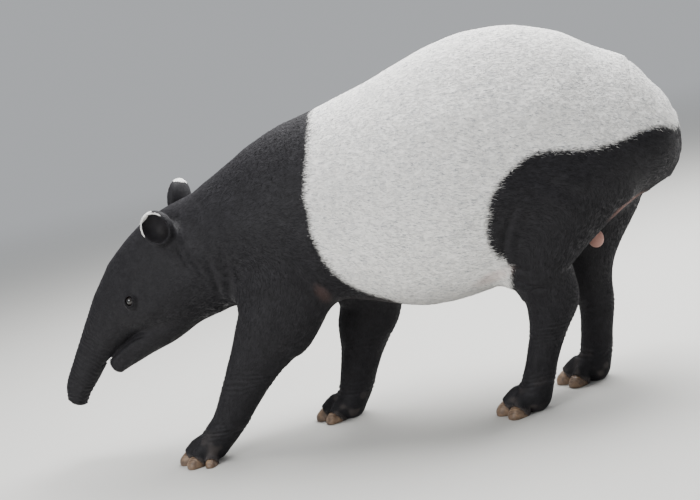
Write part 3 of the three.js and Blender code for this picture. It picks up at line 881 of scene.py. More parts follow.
@dataclass
class Wrap:
    """A closed net of four-sided faces round a field of distances.

    Args:
        points: The vertices in millimetres.
        quads: Four vertex numbers a face.
        others: Faces with more sides, where fine faces meet coarse ones.
    """

    points: np.ndarray
    quads: np.ndarray
    others: list[list[int]] = field(default_factory=list)

    @classmethod
    def round_field(cls, shape: Field, low: np.ndarray, high: np.ndarray, cell: float) -> "Wrap":
        """Wraps the places where a field of distances is zero.

        Args:
            shape: The field.
            low: Lowest corner of the room that is searched.
            high: Highest corner of it.
            cell: How far apart the searched places are.

        Returns:
            The net, with one vertex for each cell that the skin passes through.
        """
        stride, reach = 4, 42.0
        blocks = np.ceil((high - low) / cell / stride).astype(int)
        coarse_at = np.stack(np.meshgrid(*[np.arange(n + 1) for n in blocks], indexing="ij"), -1)
        coarse = in_parts(shape, low + coarse_at.reshape(-1, 3) * cell * stride).reshape(blocks + 1)
        close = np.abs(coarse) < reach
        hot = np.zeros(blocks, bool)
        for corner in CORNERS:
            hot |= close[tuple(slice(c, c + n) for c, n in zip(corner, blocks))]
        values = coarse[:-1, :-1, :-1].astype(np.float32)
        for axis in range(3):
            values, hot = values.repeat(stride, axis), hot.repeat(stride, axis)
        at = np.argwhere(hot)
        values[tuple(at.T)] = in_parts(shape, low + at * cell)
        return cls(*cls.net(values, low, cell))

    @staticmethod
    def net(values: np.ndarray, low: np.ndarray, cell: float) -> tuple[np.ndarray, np.ndarray]:
        """Returns vertices and faces between the negative and the positive values of a grid."""
        inside = values < 0
        room = np.array(values.shape) - 1
        count = np.zeros(room, np.uint8)
        for corner in CORNERS:
            count += inside[tuple(slice(c, c + n) for c, n in zip(corner, room))]
        active = (count > 0) & (count < 8)
        cells = np.argwhere(active)
        number = np.full(room, -1, np.int32)
        number[active] = np.arange(len(cells))
        total, hits = np.zeros((len(cells), 3)), np.zeros(len(cells))
        for corner in CORNERS:
            for axis in range(3):
                if corner[axis]:
                    continue
                step = np.eye(3, dtype=int)[axis]
                f = values[tuple((cells + corner).T)]
                g = values[tuple((cells + corner + step).T)]
                crossed = (f < 0) != (g < 0)
                share = np.where(crossed, f / np.where(crossed, f - g, 1), 0)
                total += (cells + corner + step * share[:, None]) * crossed[:, None]
                hits += crossed
        faces = []
        for axis in range(3):
            one, two = (axis + 1) % 3, (axis + 2) % 3
            ahead = inside.swapaxes(0, axis)[1:].swapaxes(0, axis)
            here = inside.swapaxes(0, axis)[:-1].swapaxes(0, axis)
            edges = np.argwhere(ahead != here)
            edges = edges[(edges[:, one] > 0) & (edges[:, two] > 0)]
            edges = edges[(edges[:, one] < room[one]) & (edges[:, two] < room[two])]
            ring = []
            for back_one, back_two in ((0, 0), (1, 0), (1, 1), (0, 1)):
                at = edges.copy()
                at[:, one] -= back_one
                at[:, two] -= back_two
                ring.append(number[tuple(at.T)])
            quads = np.stack(ring, 1)
            outward = inside[tuple(edges.T)]
            faces.append(np.where(outward[:, None], quads, quads[:, ::-1]))
        return low + total / hits[:, None] * cell, np.concatenate(faces)

    def normals(self) -> np.ndarray:
        """Returns the direction out of the net at each vertex."""
        corners = self.points[self.quads]
        flat = np.cross(corners[:, 2] - corners[:, 0], corners[:, 3] - corners[:, 1])
        total = np.zeros_like(self.points)
        for k in range(3):
            for c in range(4):
                total[:, k] += np.bincount(self.quads[:, c], flat[:, k], len(self.points))
        for ring in self.others:
            a, b, c, d = (self.points[ring[i * len(ring) // 4]] for i in range(4))
            total[ring] += np.cross(c - a, d - b)
        return unit(total)

    def relax(self, strength: float = 0.5) -> None:
        """Moves each vertex towards the middle of its neighbours."""
        total, count = np.zeros_like(self.points), np.zeros(len(self.points))
        for a, b in ((0, 1), (1, 2), (2, 3), (3, 0)):
            for one, two in ((a, b), (b, a)):
                count += np.bincount(self.quads[:, one], minlength=len(self.points))
                for k in range(3):
                    neighbour = self.points[self.quads[:, two], k]
                    total[:, k] += np.bincount(self.quads[:, one], neighbour, len(self.points))
        held = np.zeros(len(self.points), bool)
        for ring in self.others:
            held[ring] = True
        free = (count > 0) & ~held
        self.points[free] += strength * (total[free] / count[free, None] - self.points[free])

    def snap(self, shape: Field, reach: float, rounds: int = 2) -> None:
        """Draws each vertex onto the skin.

        Args:
            shape: The field of distances.
            reach: How far a vertex may move in one round.
            rounds: How many times.
        """
        probe = 0.5
        for _ in range(rounds):
            normals = self.normals()
            value = in_parts(shape, self.points)
            slope = (in_parts(shape, self.points + normals * probe) - value) / probe
            step = np.clip(-value / np.clip(slope, 0.4, 1.6), -reach, reach)
            self.points += normals * step[:, None]

    def refine(self, chosen: np.ndarray) -> None:
        """Splits each chosen face into four, and lets its neighbours take the new vertices in.

        Args:
            chosen: One flag for each four-sided face.
        """
        fine = self.quads[chosen]
        edges = np.sort(np.stack([fine, np.roll(fine, -1, 1)], 2).reshape(-1, 2), 1)
        pairs, back = np.unique(edges, axis=0, return_inverse=True)
        middles = len(self.points) + back.reshape(-1, 4)
        centres = len(self.points) + len(pairs) + np.arange(len(fine))
        added = [self.points[pairs].mean(1), self.points[fine].mean(1)]
        split = {tuple(pair): len(self.points) + i for i, pair in enumerate(pairs.tolist())}
        touched = np.zeros(len(self.points), bool)
        touched[pairs] = True
        self.points = np.concatenate([self.points, *added])
        small = [
            np.stack([fine[:, k], middles[:, k], centres, middles[:, k - 1]], 1) for k in range(4)
        ]
        rest = self.quads[~chosen]
        near = touched[rest].sum(1) >= 2
        kept, rings = [rest[~near]], []
        for ring in [*rest[near].tolist(), *self.others]:
            whole = []
            for a, b in zip(ring, ring[1:] + ring[:1]):
                whole.append(a)
                middle = split.get((a, b) if a < b else (b, a))
                if middle is not None:
                    whole.append(middle)
            if len(whole) == 4:
                kept.append(np.array([whole]))
            else:
                rings.append(whole)
        self.quads = np.concatenate([*kept, *small])
        self.others = rings

    def centres(self) -> np.ndarray:
        """Returns the middle of each four-sided face."""
        return self.points[self.quads].mean(1)


def linear(code: str, alpha: float = 1.0) -> tuple[float, float, float, float]:
    """Turns a hex colour as screens show it into the linear numbers that shaders take."""
    values = [int(code.lstrip("#")[i : i + 2], 16) / 255 for i in (0, 2, 4)]
    values = [v / 12.92 if v <= 0.04045 else ((v + 0.055) / 1.055) ** 2.4 for v in values]
    return (*values, alpha)


def put(tree: Tree, kind: str, sockets: dict | None = None, **settings) -> bpy.types.Node:
    """Adds one node.

    Args:
        tree: The material's or world's node tree.
        kind: The node's type.
        sockets: Values or links for its inputs, by name or number.
        **settings: The node's own properties.

    Returns:
        The new node.
    """
    node = tree.nodes.new(kind)
    for name, value in settings.items():
        setattr(node, name, value)
    for key, value in (sockets or {}).items():
        if isinstance(value, Socket):
            tree.links.new(value, node.inputs[key])
        else:
            node.inputs[key].default_value = value
    return node


def blank_material(name: str) -> tuple[bpy.types.Material, Tree]:
    """Returns a new material with an empty node tree."""
    material = bpy.data.materials.new(name)
    material.use_nodes = True
    material.node_tree.nodes.clear()
    return material, material.node_tree


class Layer(Enum):
    """Which part of the coat a finish is for."""

    SKIN = "skin under the hair"
    TUFT = "tufts of hair"


@dataclass(frozen=True)
class ShortHair:
    """Short flat tapir hair, charcoal black and silver white, grown and worn smooth.

    To the eye it is matt with a soft grey sheen where the light grazes it. The black has hardly any
    colour of its own. The white shows grey specks where the tips part. Painted shade darkens the
    hollows and greys the belly.
    """

    layer: Layer
    black: str = "#131214"
    black_worn: str = "#28272a"
    white: str = "#f4f2ee"
    white_shade: str = "#9fa2a8"
    bare: str = "#a87f74"
    # Grey-brown of worn hair on the lower legs, at the nostrils and round the hooves, also used as painted
    # shade under the belly
    worn: str = "#6a625e"
    # Near black painted as shade into the mouth line, the ear cups, the nostrils and round the eyes
    hollow: str = "#120f10"
    roughness: float = 0.56
    sheen: float = 0.045
    edge_mm: float = 9.0
    speck_mm: float = 7.0
    hair_mm: float = 2.2  # a real hair is 0.1 mm, too fine to show, so locks of this width are drawn
    streak_mm: float = 16.0

    def material(self) -> bpy.types.Material:
        """Returns the finish."""
        material, tree = blank_material(f"tapir hair, {self.layer.value}")
        read = {
            name: put(tree, "ShaderNodeAttribute", attribute_name=name).outputs["Fac"]
            for name in MARKS
        }
        place = put(tree, "ShaderNodeTexCoord").outputs["Object"]
        sockets = {"Vector": place, "Scale": 1000 / self.speck_mm, "Detail": 3, "Roughness": 0.6}
        speck = put(tree, "ShaderNodeTexNoise", sockets).outputs["Fac"]
        edge = put(tree, "ShaderNodeMath", {0: speck, 1: self.edge_mm * 1.6}, operation="MULTIPLY")
        shifted = put(tree, "ShaderNodeMath", {0: read["saddle"], 1: edge.outputs[0]}, operation="ADD")
        low, high = (self.edge_mm * (0.8 + way) for way in (-1, 1))
        sockets = {"Value": shifted.outputs[0], "From Min": low, "From Max": high}
        white_share = put(
            tree, "ShaderNodeMapRange", sockets, interpolation_type="SMOOTHSTEP"
        ).outputs["Result"]
        fine = put(tree, "ShaderNodeMath", {0: speck, 1: 0.5, 2: read["shade"]}, operation="MULTIPLY_ADD")
        shades = []
        for low_code, high_code, low, high in (
            (self.black, self.black_worn, 0.2, 1.0), (self.white_shade, self.white, 0.2, 0.75),
        ):
            sockets = {"Value": fine.outputs[0], "From Min": low, "From Max": high}
            share = put(tree, "ShaderNodeMapRange", sockets).outputs["Result"]
            sockets = {0: share, 6: linear(low_code), 7: linear(high_code)}
            shades.append(put(tree, "ShaderNodeMix", sockets, data_type="RGBA").outputs[2])
        colour, white = shades
        # Over the coat's colour go, in turn, the white saddle, wear with the painted belly shade, bare skin
        # and the painted shade of the hollows
        for share, other in (
            (white_share, white), (read["worn"], linear(self.worn)), (read["bare"], linear(self.bare)),
            (read["hollow"], linear(self.hollow)),
        ):
            sockets = {0: share, 6: colour, 7: other}
            colour = put(tree, "ShaderNodeMix", sockets, data_type="RGBA").outputs[2]
        shader = put(
            tree, "ShaderNodeBsdfPrincipled",
            {
                "Base Color": colour, "Roughness": self.roughness, "IOR": 1.5, "Sheen Weight": self.sheen,
                "Sheen Roughness": 0.45, "Sheen Tint": linear("#e2dfe4"), "Specular IOR Level": 0.16,
            },
        )
        if self.layer is Layer.SKIN:
            tree.links.new(self.bump(tree, place, read["leg"]), shader.inputs["Normal"])
        put(tree, "ShaderNodeOutputMaterial", {"Surface": shader.outputs[0]})
        return material

    def bump(self, tree: Tree, place: Socket, leg: Socket) -> Socket:
        """Returns the normal of skin with locks of hair that run back, and down on the legs."""
        fine, long = 1000 / self.hair_mm, 1000 / self.streak_mm
        streaks = []
        for scale in ((long, fine, fine), (fine, fine, long)):
            stretched = put(tree, "ShaderNodeMapping", {"Vector": place, "Scale": scale})
            sockets = {"Vector": stretched.outputs[0], "Scale": 1.0, "Detail": 2, "Roughness": 0.5}
            streaks.append(put(tree, "ShaderNodeTexNoise", sockets).outputs["Fac"])
        mixed = put(tree, "ShaderNodeMix", {0: leg, 2: streaks[0], 3: streaks[1]}, data_type="FLOAT")
        sockets = {"Height": mixed.outputs[0], "Strength": 0.5, "Distance": 1.2 * MM}
        return put(tree, "ShaderNodeBump", sockets).outputs["Normal"]


def new_object(name: str, points: np.ndarray, faces: list[np.ndarray | list[list[int]]]) -> bpy.types.Object:
    """Makes a smooth-shaded mesh object.

    Args:
        name: The piece's name.
        points: Vertices in metres.
        faces: Groups of faces, each an array or a list of rings.

    Returns:
        The object, linked to the scene.
    """
    rings = [np.asarray(group) for group in faces if isinstance(group, np.ndarray) and len(group)]
    loops = [group.reshape(-1) for group in rings]
    sizes = [np.full(len(group), group.shape[1]) for group in rings]
    for group in faces:
        if isinstance(group, list) and group:
            loops.append(np.concatenate([np.array(ring) for ring in group]))
            sizes.append(np.array([len(ring) for ring in group]))
    corners, counts = np.concatenate(loops), np.concatenate(sizes)
    mesh = bpy.data.meshes.new(name)
    mesh.vertices.add(len(points))
    mesh.vertices.foreach_set("co", np.ascontiguousarray(points, np.float32).reshape(-1))
    mesh.loops.add(len(corners))
    mesh.loops.foreach_set("vertex_index", corners.astype(np.int32))
    mesh.polygons.add(len(counts))
    starts = np.concatenate([[0], np.cumsum(counts)[:-1]])
    mesh.polygons.foreach_set("loop_start", starts.astype(np.int32))
    mesh.update(calc_edges=True)
    mesh.shade_smooth()
    thing = bpy.data.objects.new(name, mesh)
    bpy.context.scene.collection.objects.link(thing)
    return thing


def mark(thing: bpy.types.Object, name: str, values: np.ndarray) -> None:
    """Stores one number for each vertex under a name that finishes read."""
    attribute = thing.data.attributes.new(name, "FLOAT", "POINT")
    attribute.data.foreach_set("value", np.ascontiguousarray(values, np.float32))


@dataclass
class Surface:
    """The finished skin as numbers: where it is, which way it faces and what grows on it."""

    wrap: Wrap
    normals: np.ndarray
    hide: Hide
    marks: dict[str, np.ndarray]
    hair: np.ndarray


@dataclass
class Skin:
    """The one skin of the whole animal.

    Args:
        anatomy: The flesh below it.
        shift: From the sections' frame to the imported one, in millimetres.
        cell: Width of a face on the body. The head and the feet have half of it, lids and nostrils a quarter.
        low: Lowest corner of the room that the skin lies in.
        high: Highest corner of it.
    """

    anatomy: Anatomy
    shift: np.ndarray
    cell: float = 4.6
    low: tuple[float, float, float] = (-1010, -325, -14)
    high: tuple[float, float, float] = (1000, 325, 1084)

    def surface(self) -> Surface:
        """Returns the skin with its folds, and with all its marks."""
        shape = self.anatomy.distance
        wrap = Wrap.round_field(shape, np.array(self.low, float), np.array(self.high, float), self.cell)
        LOG.info("skin net: %d faces", len(wrap.quads))
        for _ in range(2):
            wrap.relax()
        wrap.snap(shape, self.cell * 0.8)
        wrap.refine(self.small_forms(wrap.centres()))
        wrap.relax(0.3)
        wrap.snap(shape, self.cell * 0.5)
        wrap.refine(self.smallest_forms(wrap.centres()))
        wrap.snap(shape, self.cell * 0.3)
        LOG.info("skin net, refined: %d faces", len(wrap.quads) + len(wrap.others))
        plain = wrap.points.copy()
        hide = Hide.of(self.anatomy, plain)
        height = Relief().height(plain, wrap.normals())
        height *= 1 - hide.ear
        wrap.points = plain + wrap.normals() * height[:, None]
        normals = wrap.normals()
        marks = self.marks(plain, normals, hide)
        return Surface(wrap, normals, hide, marks, self.hair(plain, hide, marks))

    def small_forms(self, at: np.ndarray) -> np.ndarray:
        """Returns which places lie on the head, the ears or a foot."""
        head = (at[:, 0] < -455) & (at[:, 2] > 130)
        return head | (at[:, 2] < 84)

    def smallest_forms(self, at: np.ndarray) -> np.ndarray:
        """Returns which places lie by an eye or a nostril."""
        close = np.linalg.norm(at - self.anatomy.nostril, axis=1) < 40
        for eye in self.anatomy.eyes:
            close |= np.linalg.norm(at - eye.centre, axis=1) < 36
        return close

    def marks(self, points: np.ndarray, normals: np.ndarray, hide: Hide) -> dict[str, np.ndarray]:
        """Works out the named numbers that the finishes read.

        Args:
            points: The skin before its folds.
            normals: Directions out of it.
            hide: Its chart.

        Returns:
            One array for each name.
        """
        grain = Grain(31)
        on_leg = (hide.limb >= 1) & (hide.limb < len(self.anatomy.limbs) - 2)
        leg = on_leg * smooth(560, 440, points[:, 2])
        worn = 0.35 * smooth(0.1, 0.7, grain.at(points, 22)) * on_leg * smooth(120, 20, points[:, 2])
        # Painted shade: the underside of the barrel is mixed a little towards the grey-brown wear colour,
        # which greys the white belly as if it lay in shade
        belly_shade = smooth(430, 350, points[:, 2]) * (hide.limb == 0) * (points[:, 0] > -60)
        worn = np.maximum(worn, belly_shade * (0.24 + 0.1 * grain.at(points, 45)))
        nose = smooth(30, 12, np.linalg.norm(points - np.array(self.anatomy.nostril) - (-6, 0, 6), axis=1))
        worn = np.maximum(worn, 0.35 * nose)
        bulbs = np.min([egg.distance(points) for egg in self.anatomy.bulbs], axis=0)
        bare = smooth(5, 0, bulbs)
        beside = np.abs(normals[:, 1]) > 0.2
        for (x, z), (long, wide), tilt, share in BARE_PATCHES:
            turned = (points[:, (0, 2)] - (x, z)) @ turned_axes(tilt)
            bare = np.maximum(bare, share * smooth(1.1, 0.3, np.hypot(*(turned / (long, wide)).T)) * beside)
        # Painted shade in hollows: along the mouth line, in the ear cups, in the nostrils and round the
        # eyeballs
        hollow = 0.8 * MouthLine.shade(points) * (np.abs(normals[:, 1]) > 0.25)
        saddle = Markings().saddle(points)
        for ear in self.anatomy.ears:
            inner = -ear.bowl().distance(points)
            deep = -ear.shell(COAT_DEPTH).distance(points)
            hollow = np.maximum(hollow, smooth(-2, 0.5, inner) * smooth(2.5, 7, deep) * hide.ear * 0.9)
            local = (points - ear.centre()) @ ear.axes().T
            rim = smooth(-6, -3, inner) * smooth(-5.5, -2, -deep) * smooth(2, 9, local[:, 2])
            tip = smooth(0.37, 0.43, local[:, 0] / ear.height)
            rim = hide.ear * smooth(-12, -5, deep) * np.maximum(rim * smooth(0, 22, local[:, 0]), tip)
            saddle = np.where(rim > 0.02, np.maximum(saddle, 70 * rim - 30), saddle)
        nostril = np.full(len(points), np.inf)
        for side in (-1, 1):
            middle = np.array(self.anatomy.nostril) + (-2, side * NOSTRIL_ASIDE, -6)
            nostril = np.minimum(nostril, np.linalg.norm(points - middle, axis=1))
        hollow = np.maximum(hollow, smooth(10, 6, nostril))
        for eye in self.anatomy.eyes:
            hollow = np.maximum(hollow, smooth(3.2, 1.4, np.abs(eye.ball().distance(points))))
        for toe in self.anatomy.all_toes:
            worn = np.maximum(worn, 0.75 * smooth(6, 2, toe.hoof().distance(points)))
        return {
            "saddle": saddle, "bare": bare, "worn": worn, "hollow": hollow, "leg": leg,
            "shade": 0.5 + 0.25 * grain.at(points, 12),
        }

    def hair(self, points: np.ndarray, hide: Hide, marks: dict[str, np.ndarray]) -> np.ndarray:
        """Returns the length of the hair in millimetres, 0 where none grows."""
        trunk_or_jaw = (hide.limb == 0) | (hide.limb == len(self.anatomy.limbs) - 2)
        on_leg = ~trunk_or_jaw & (hide.limb < len(self.anatomy.limbs) - 1)
        length = np.full(len(points), HAIR_MM["body"])
        for place, share in (
            ("face", trunk_or_jaw * smooth(-380, -520, points[:, 0])),
            ("snout", trunk_or_jaw * smooth(-760, -900, points[:, 0])),
            ("ear", hide.ear),
            ("leg", on_leg * smooth(480, 260, points[:, 2])),
            ("foot", on_leg * smooth(110, 40, points[:, 2])),
        ):
            length += (HAIR_MM[place] - length) * share
        for eye in self.anatomy.eyes:
            gap = np.linalg.norm(points - eye.centre, axis=1)
            length = np.where(gap < 21, 0, length)
        bare = (marks["hollow"] > 0.3) | (marks["bare"] > 0.6) | (points[:, 2] < 9)
        near_nostril = np.linalg.norm(points - np.array(self.anatomy.nostril) - (-2, 0, -8), axis=1) < 26
        return np.where(bare | near_nostril, 0, length)

    def build(self, surface: Surface) -> bpy.types.Object:
        """Makes the skin's object, dresses it and lets it stand for every node of flesh."""
        wrap = surface.wrap
        skin = new_object("skin", (wrap.points + self.shift) * MM, [wrap.quads, wrap.others])
        for name, values in surface.marks.items():
            mark(skin, name, values)
        skin.data.materials.append(ShortHair(Layer.SKIN).material())
        flesh = [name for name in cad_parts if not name.startswith("eye_") and "_hoof_" not in name]
        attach(skin, ROOT)
        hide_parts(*flesh)
        LOG.info("skin: %d vertices", len(wrap.points))
        return skin


@dataclass
class Coat:
    """Short hair that lies flat, as tufts of solid mesh that overlap along the lie.

    Args:
        surface: The skin that it grows on.
        shift: From the sections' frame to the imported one, in millimetres.
        tufts: How many tufts there are in all.
        most: How many tufts one piece may hold.
        seed: What the random numbers start from.
        stray: How far a tuft strays from the lie.
        shade_spread: How much the tufts differ in shade.
        edge_mm: How far tufts of one colour reach into the other at the saddle's edge.
        sunk_mm: How deep the roots are.
    """

    surface: Surface
    shift: np.ndarray
    tufts: int
    most: int = 48000
    seed: int = 5
    stray: float = 0.2
    shade_spread: float = 0.27
    edge_mm: float = 5.0
    sunk_mm: float = 0.5

    def places(self, rng: np.random.Generator) -> dict[str, np.ndarray]:
        """Draws the roots, denser where the hair is short.

        Args:
            rng: The random numbers.

        Returns:
            For each root, the numbers of the skin there.
        """
        wrap, hair = self.surface.wrap, self.surface.hair
        quads = wrap.quads[(hair[wrap.quads] > 0).all(1)]
        corners = wrap.points[quads]
        across = np.cross(corners[:, 2] - corners[:, 0], corners[:, 3] - corners[:, 1])
        area = np.linalg.norm(across, axis=1) / 2
        chance = area / hair[quads].mean(1) ** 1.6
        drawn = quads[rng.choice(len(quads), self.tufts, p=chance / chance.sum())]
        s, t = rng.random((2, self.tufts, 1))
        weights = np.stack([(1 - s) * (1 - t), s * (1 - t), s * t, (1 - s) * t], 1)

        def mean(values: np.ndarray) -> np.ndarray:
            """Returns the values at the roots."""
            rows = values[drawn].reshape(self.tufts, 4, -1)
            return (rows * weights).sum(1)

        hide = self.surface.hide
        found = {name: mean(values)[:, 0] for name, values in self.surface.marks.items()}
        found.update(
            root=mean(wrap.points), normal=unit(mean(self.surface.normals)), lie=mean(hide.lie),
            hair=mean(hair)[:, 0], limb=hide.limb[drawn[:, 0]], share=hide.share[drawn[:, 0]],
            angle=hide.angle[drawn[:, 0]], ear=hide.ear[drawn[:, 0]],
        )
        return found

    def build(self) -> list[bpy.types.Object]:
        """Makes all pieces of the coat."""
        rng = np.random.default_rng(self.seed)
        at = self.places(rng)
        points, normals = self.shapes(at, rng)
        at["shade"] = np.clip(0.5 + self.shade_spread * rng.standard_normal(self.tufts), 0, 1)
        at["saddle"] = at["saddle"] + rng.normal(0, self.edge_mm, self.tufts)
        finish = ShortHair(Layer.TUFT).material()
        pieces = []
        for name, rows in self.regions(at).items():
            parts = np.array_split(rows, math.ceil(len(rows) / self.most)) if len(rows) else []
            for number, part in enumerate(parts):
                label = f"coat_{name}" + (f"_{number + 1}" if len(parts) > 1 else "")
                pieces.append(self.piece(label, part, points, normals, at, finish))
        LOG.info("coat: %d tufts in %d pieces", self.tufts, len(pieces))
        return pieces

    def shapes(self, at: dict[str, np.ndarray], rng: np.random.Generator) -> tuple[np.ndarray, np.ndarray]:
        """Returns four vertices a tuft, and the direction in which each of them is lit."""
        root, normal = at["root"], at["normal"]
        lie = at["lie"] + rng.normal(0, self.stray, root.shape)
        along = unit(lie - normal * dot(lie, normal)[:, None])
        aside = np.cross(normal, along)
        size = at["hair"][:, None]
        length = size * rng.uniform(0.75, 1.25, (len(root), 1))
        width = (0.7 + 0.13 * size) * rng.uniform(0.8, 1.2, (len(root), 1))
        lift = 0.07 * size * rng.uniform(0.4, 1.6, (len(root), 1))
        sunk = root - normal * self.sunk_mm
        ridge = root + along * length * 0.3 + normal * (0.35 + 0.05 * size)
        tip = root + along * length + normal * (lift + 0.3)
        points = np.stack([sunk - aside * width / 2, sunk + aside * width / 2, ridge, tip], 1)
        soft = 0.35
        lit = np.stack([normal - aside * soft, normal + aside * soft, normal, normal + along * soft], 1)
        return points, unit(lit)

    def regions(self, at: dict[str, np.ndarray]) -> dict[str, np.ndarray]:
        """Sorts the roots into the parts of the body."""
        limb, x, y = at["limb"], at["root"][:, 0], at["root"][:, 1]
        last = int(limb.max())
        head = (limb == 0) | (limb == last - 1)
        ear = at["ear"] > 0.5
        leg = (limb >= 1) & (limb < last - 1)
        rules = {
            "ears": ear,
            "tail": limb == last,
            "fore_legs": leg & (x < 300),
            "hind_legs": leg & (x >= 300),
            "face_left": head & (x < -440) & (y < 20),
            "face_right": head & (x < -440) & (y >= 20),
            "neck": head & (x < -150),
            "barrel_left": head & (x < 520) & (y < 0),
            "barrel_right": head & (x < 520) & (y >= 0),
            "rump": head,
        }
        left = np.ones(len(x), bool)
        found = {}
        for name, rule in rules.items():
            found[name] = np.flatnonzero(rule & left)
            left &= ~rule
        return found

    def piece(
        self, name: str, rows: np.ndarray, points: np.ndarray, normals: np.ndarray,
        at: dict[str, np.ndarray], finish: bpy.types.Material,
    ) -> bpy.types.Object:
        """Makes one piece of the coat.

        Args:
            name: The piece's name.
            rows: Which tufts it holds.
            points: All tufts' vertices.
            normals: All tufts' lit directions.
            at: The numbers of the skin at all roots.
            finish: The material.

        Returns:
            The piece.
        """
        first = 4 * np.arange(len(rows))[:, None]
        faces = np.concatenate([first + ring for ring in ((0, 2, 1), (0, 3, 2), (2, 3, 1), (1, 3, 0))])
        place = (points[rows].reshape(-1, 3) + self.shift) * MM
        thing = new_object(name, place, [faces])
        for key in MARKS:
            mark(thing, key, np.repeat(at[key][rows], 4))
        lit = thing.data.attributes.new("custom_normal", "FLOAT_VECTOR", "POINT")
        lit.data.foreach_set("vector", normals[rows].reshape(-1).astype(np.float32))
        self.unwrap(thing, at, rows)
        thing.data.materials.append(finish)
        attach(thing, ROOT)
        return thing

    @staticmethod
    def unwrap(thing: bpy.types.Object, at: dict[str, np.ndarray], rows: np.ndarray) -> None:
        """Gives each tuft a small patch at its root's place on an unwrap of the skin."""
        patch = 0.0015
        limb = at["limb"][rows]
        last = int(at["limb"].max())
        columns = np.where(limb == 0, 0, 1 + (limb - 1) % 4)
        u, v = at["share"][rows], (at["angle"][rows] + math.pi) / math.tau
        row = np.where(limb >= last - 1, 2, 1)
        small = np.stack([0.02 + (columns - 1) * 0.24 + 0.22 * v, 0.26 + 0.22 * row + 0.2 * u], 1)
        trunk = np.stack([0.02 + 0.96 * u, 0.02 + 0.42 * v], 1)
        root = np.where((limb == 0)[:, None], trunk, small)
        spread = np.array([(-patch, -patch), (patch, -patch), (0, 0), (0, patch)])
        corners = (root[:, None] + spread).reshape(-1, 2)
        layer = thing.data.uv_layers.new(name="OFBake")
        number = np.zeros(len(thing.data.loops), np.int32)
        thing.data.loops.foreach_get("vertex_index", number)
        layer.data.foreach_set("uv", corners[number].astype(np.float32).reshape(-1))


@dataclass(frozen=True)
class WetEye:
    """A live eye: a clear, wet cornea over a dark brown iris.

    The tear film gives one small hard highlight, and the iris shows only as a faint brown ring.
    """

    pupil: str = "#040404"
    iris: str = "#140b07"
    white: str = "#100c0b"
    pupil_mm: float = 6.0
    iris_mm: float = 11.0

    def material(self, centre: np.ndarray, out: np.ndarray) -> bpy.types.Material:
        """Returns the finish for an eye that looks along out from centre, in metres."""
        material, tree = blank_material("wet eye, brown iris")
        place = put(tree, "ShaderNodeTexCoord").outputs["Object"]
        away = put(tree, "ShaderNodeVectorMath", {0: place, 1: tuple(centre)}, operation="SUBTRACT")
        sockets = {0: away.outputs[0], 1: tuple(out)}
        aside = put(tree, "ShaderNodeVectorMath", sockets, operation="CROSS_PRODUCT").outputs[0]
        ring = put(tree, "ShaderNodeVectorMath", {0: aside}, operation="LENGTH").outputs["Value"]
        colour = linear(self.pupil)
        for size, code, soft in ((self.pupil_mm, self.iris, 0.6), (self.iris_mm, self.white, 0.8)):
            sockets = {"Value": ring, "From Min": (size - soft) * MM, "From Max": (size + soft) * MM}
            share = put(
                tree, "ShaderNodeMapRange", sockets, interpolation_type="SMOOTHSTEP"
            ).outputs["Result"]
            sockets = {0: share, 6: colour, 7: linear(code)}
            colour = put(tree, "ShaderNodeMix", sockets, data_type="RGBA").outputs[2]
        shader = put(
            tree, "ShaderNodeBsdfPrincipled",
            {
                "Base Color": colour, "Roughness": 0.08, "IOR": 1.38,
                "Coat Weight": 1.0, "Coat Roughness": 0.02,
            },
        )
        put(tree, "ShaderNodeOutputMaterial", {"Surface": shader.outputs[0]})
        return material


@dataclass(frozen=True)
class Keratin:
    """Hoof horn, grown in rings from the cuticle and ground smooth on the floor.

    It is a warm brown-grey with paler growth rings and a dull shine.
    """

    dark: str = "#46352a"
    pale: str = "#94795f"
    ring_mm: float = 3.5

    def material(self) -> bpy.types.Material:
        """Returns the finish."""
        material, tree = blank_material("hoof horn")
        place = put(tree, "ShaderNodeTexCoord").outputs["Object"]
        sockets = {"Vector": place, "Scale": 1000 / 18, "Detail": 4, "Roughness": 0.6}
        cloud = put(tree, "ShaderNodeTexNoise", sockets).outputs["Fac"]
        height = put(tree, "ShaderNodeSeparateXYZ", {0: place}).outputs["Z"]
        sockets = {0: height, 1: math.tau * 1000 / self.ring_mm}
        turns = put(tree, "ShaderNodeMath", sockets, operation="MULTIPLY").outputs[0]
        bent = put(tree, "ShaderNodeMath", {0: cloud, 1: 5.0, 2: turns}, operation="MULTIPLY_ADD")
        rings = put(tree, "ShaderNodeMath", {0: bent.outputs[0]}, operation="SINE").outputs[0]
        banded = put(tree, "ShaderNodeMath", {0: rings, 1: 0.12, 2: cloud}, operation="MULTIPLY_ADD")
        sockets = {"Value": banded.outputs[0], "From Min": 0.3, "From Max": 0.75}
        share = put(tree, "ShaderNodeMapRange", sockets).outputs["Result"]
        sockets = {0: share, 6: linear(self.dark), 7: linear(self.pale)}
        colour = put(tree, "ShaderNodeMix", sockets, data_type="RGBA").outputs[2]
        bump = put(tree, "ShaderNodeBump", {"Height": rings, "Strength": 0.35, "Distance": 0.5 * MM})
        sockets = {"Base Color": colour, "Roughness": 0.46, "IOR": 1.54, "Normal": bump.outputs[0]}
        shader = put(tree, "ShaderNodeBsdfPrincipled", sockets)
        put(tree, "ShaderNodeOutputMaterial", {"Surface": shader.outputs[0]})
        return material


def ball_grid(wide: int, high: int) -> tuple[np.ndarray, list[np.ndarray | list[list[int]]]]:
    """Returns directions all round, and the faces between them with one at each pole."""
    turn = np.arange(wide) * math.tau / wide
    rise = (np.arange(high) + 0.5) * math.pi / high
    directions = np.array(
        [(math.cos(t) * math.sin(r), math.sin(t) * math.sin(r), math.cos(r)) for r in rise for t in turn]
    )
    quads = np.array(
        [(i * wide + j, (i + 1) * wide + j, (i + 1) * wide + (j + 1) % wide, i * wide + (j + 1) % wide)
         for i in range(high - 1) for j in range(wide)]
    )
    last = len(directions)
    caps = [list(range(wide)), list(range(last - wide, last))[::-1]]
    return directions, [quads, caps]


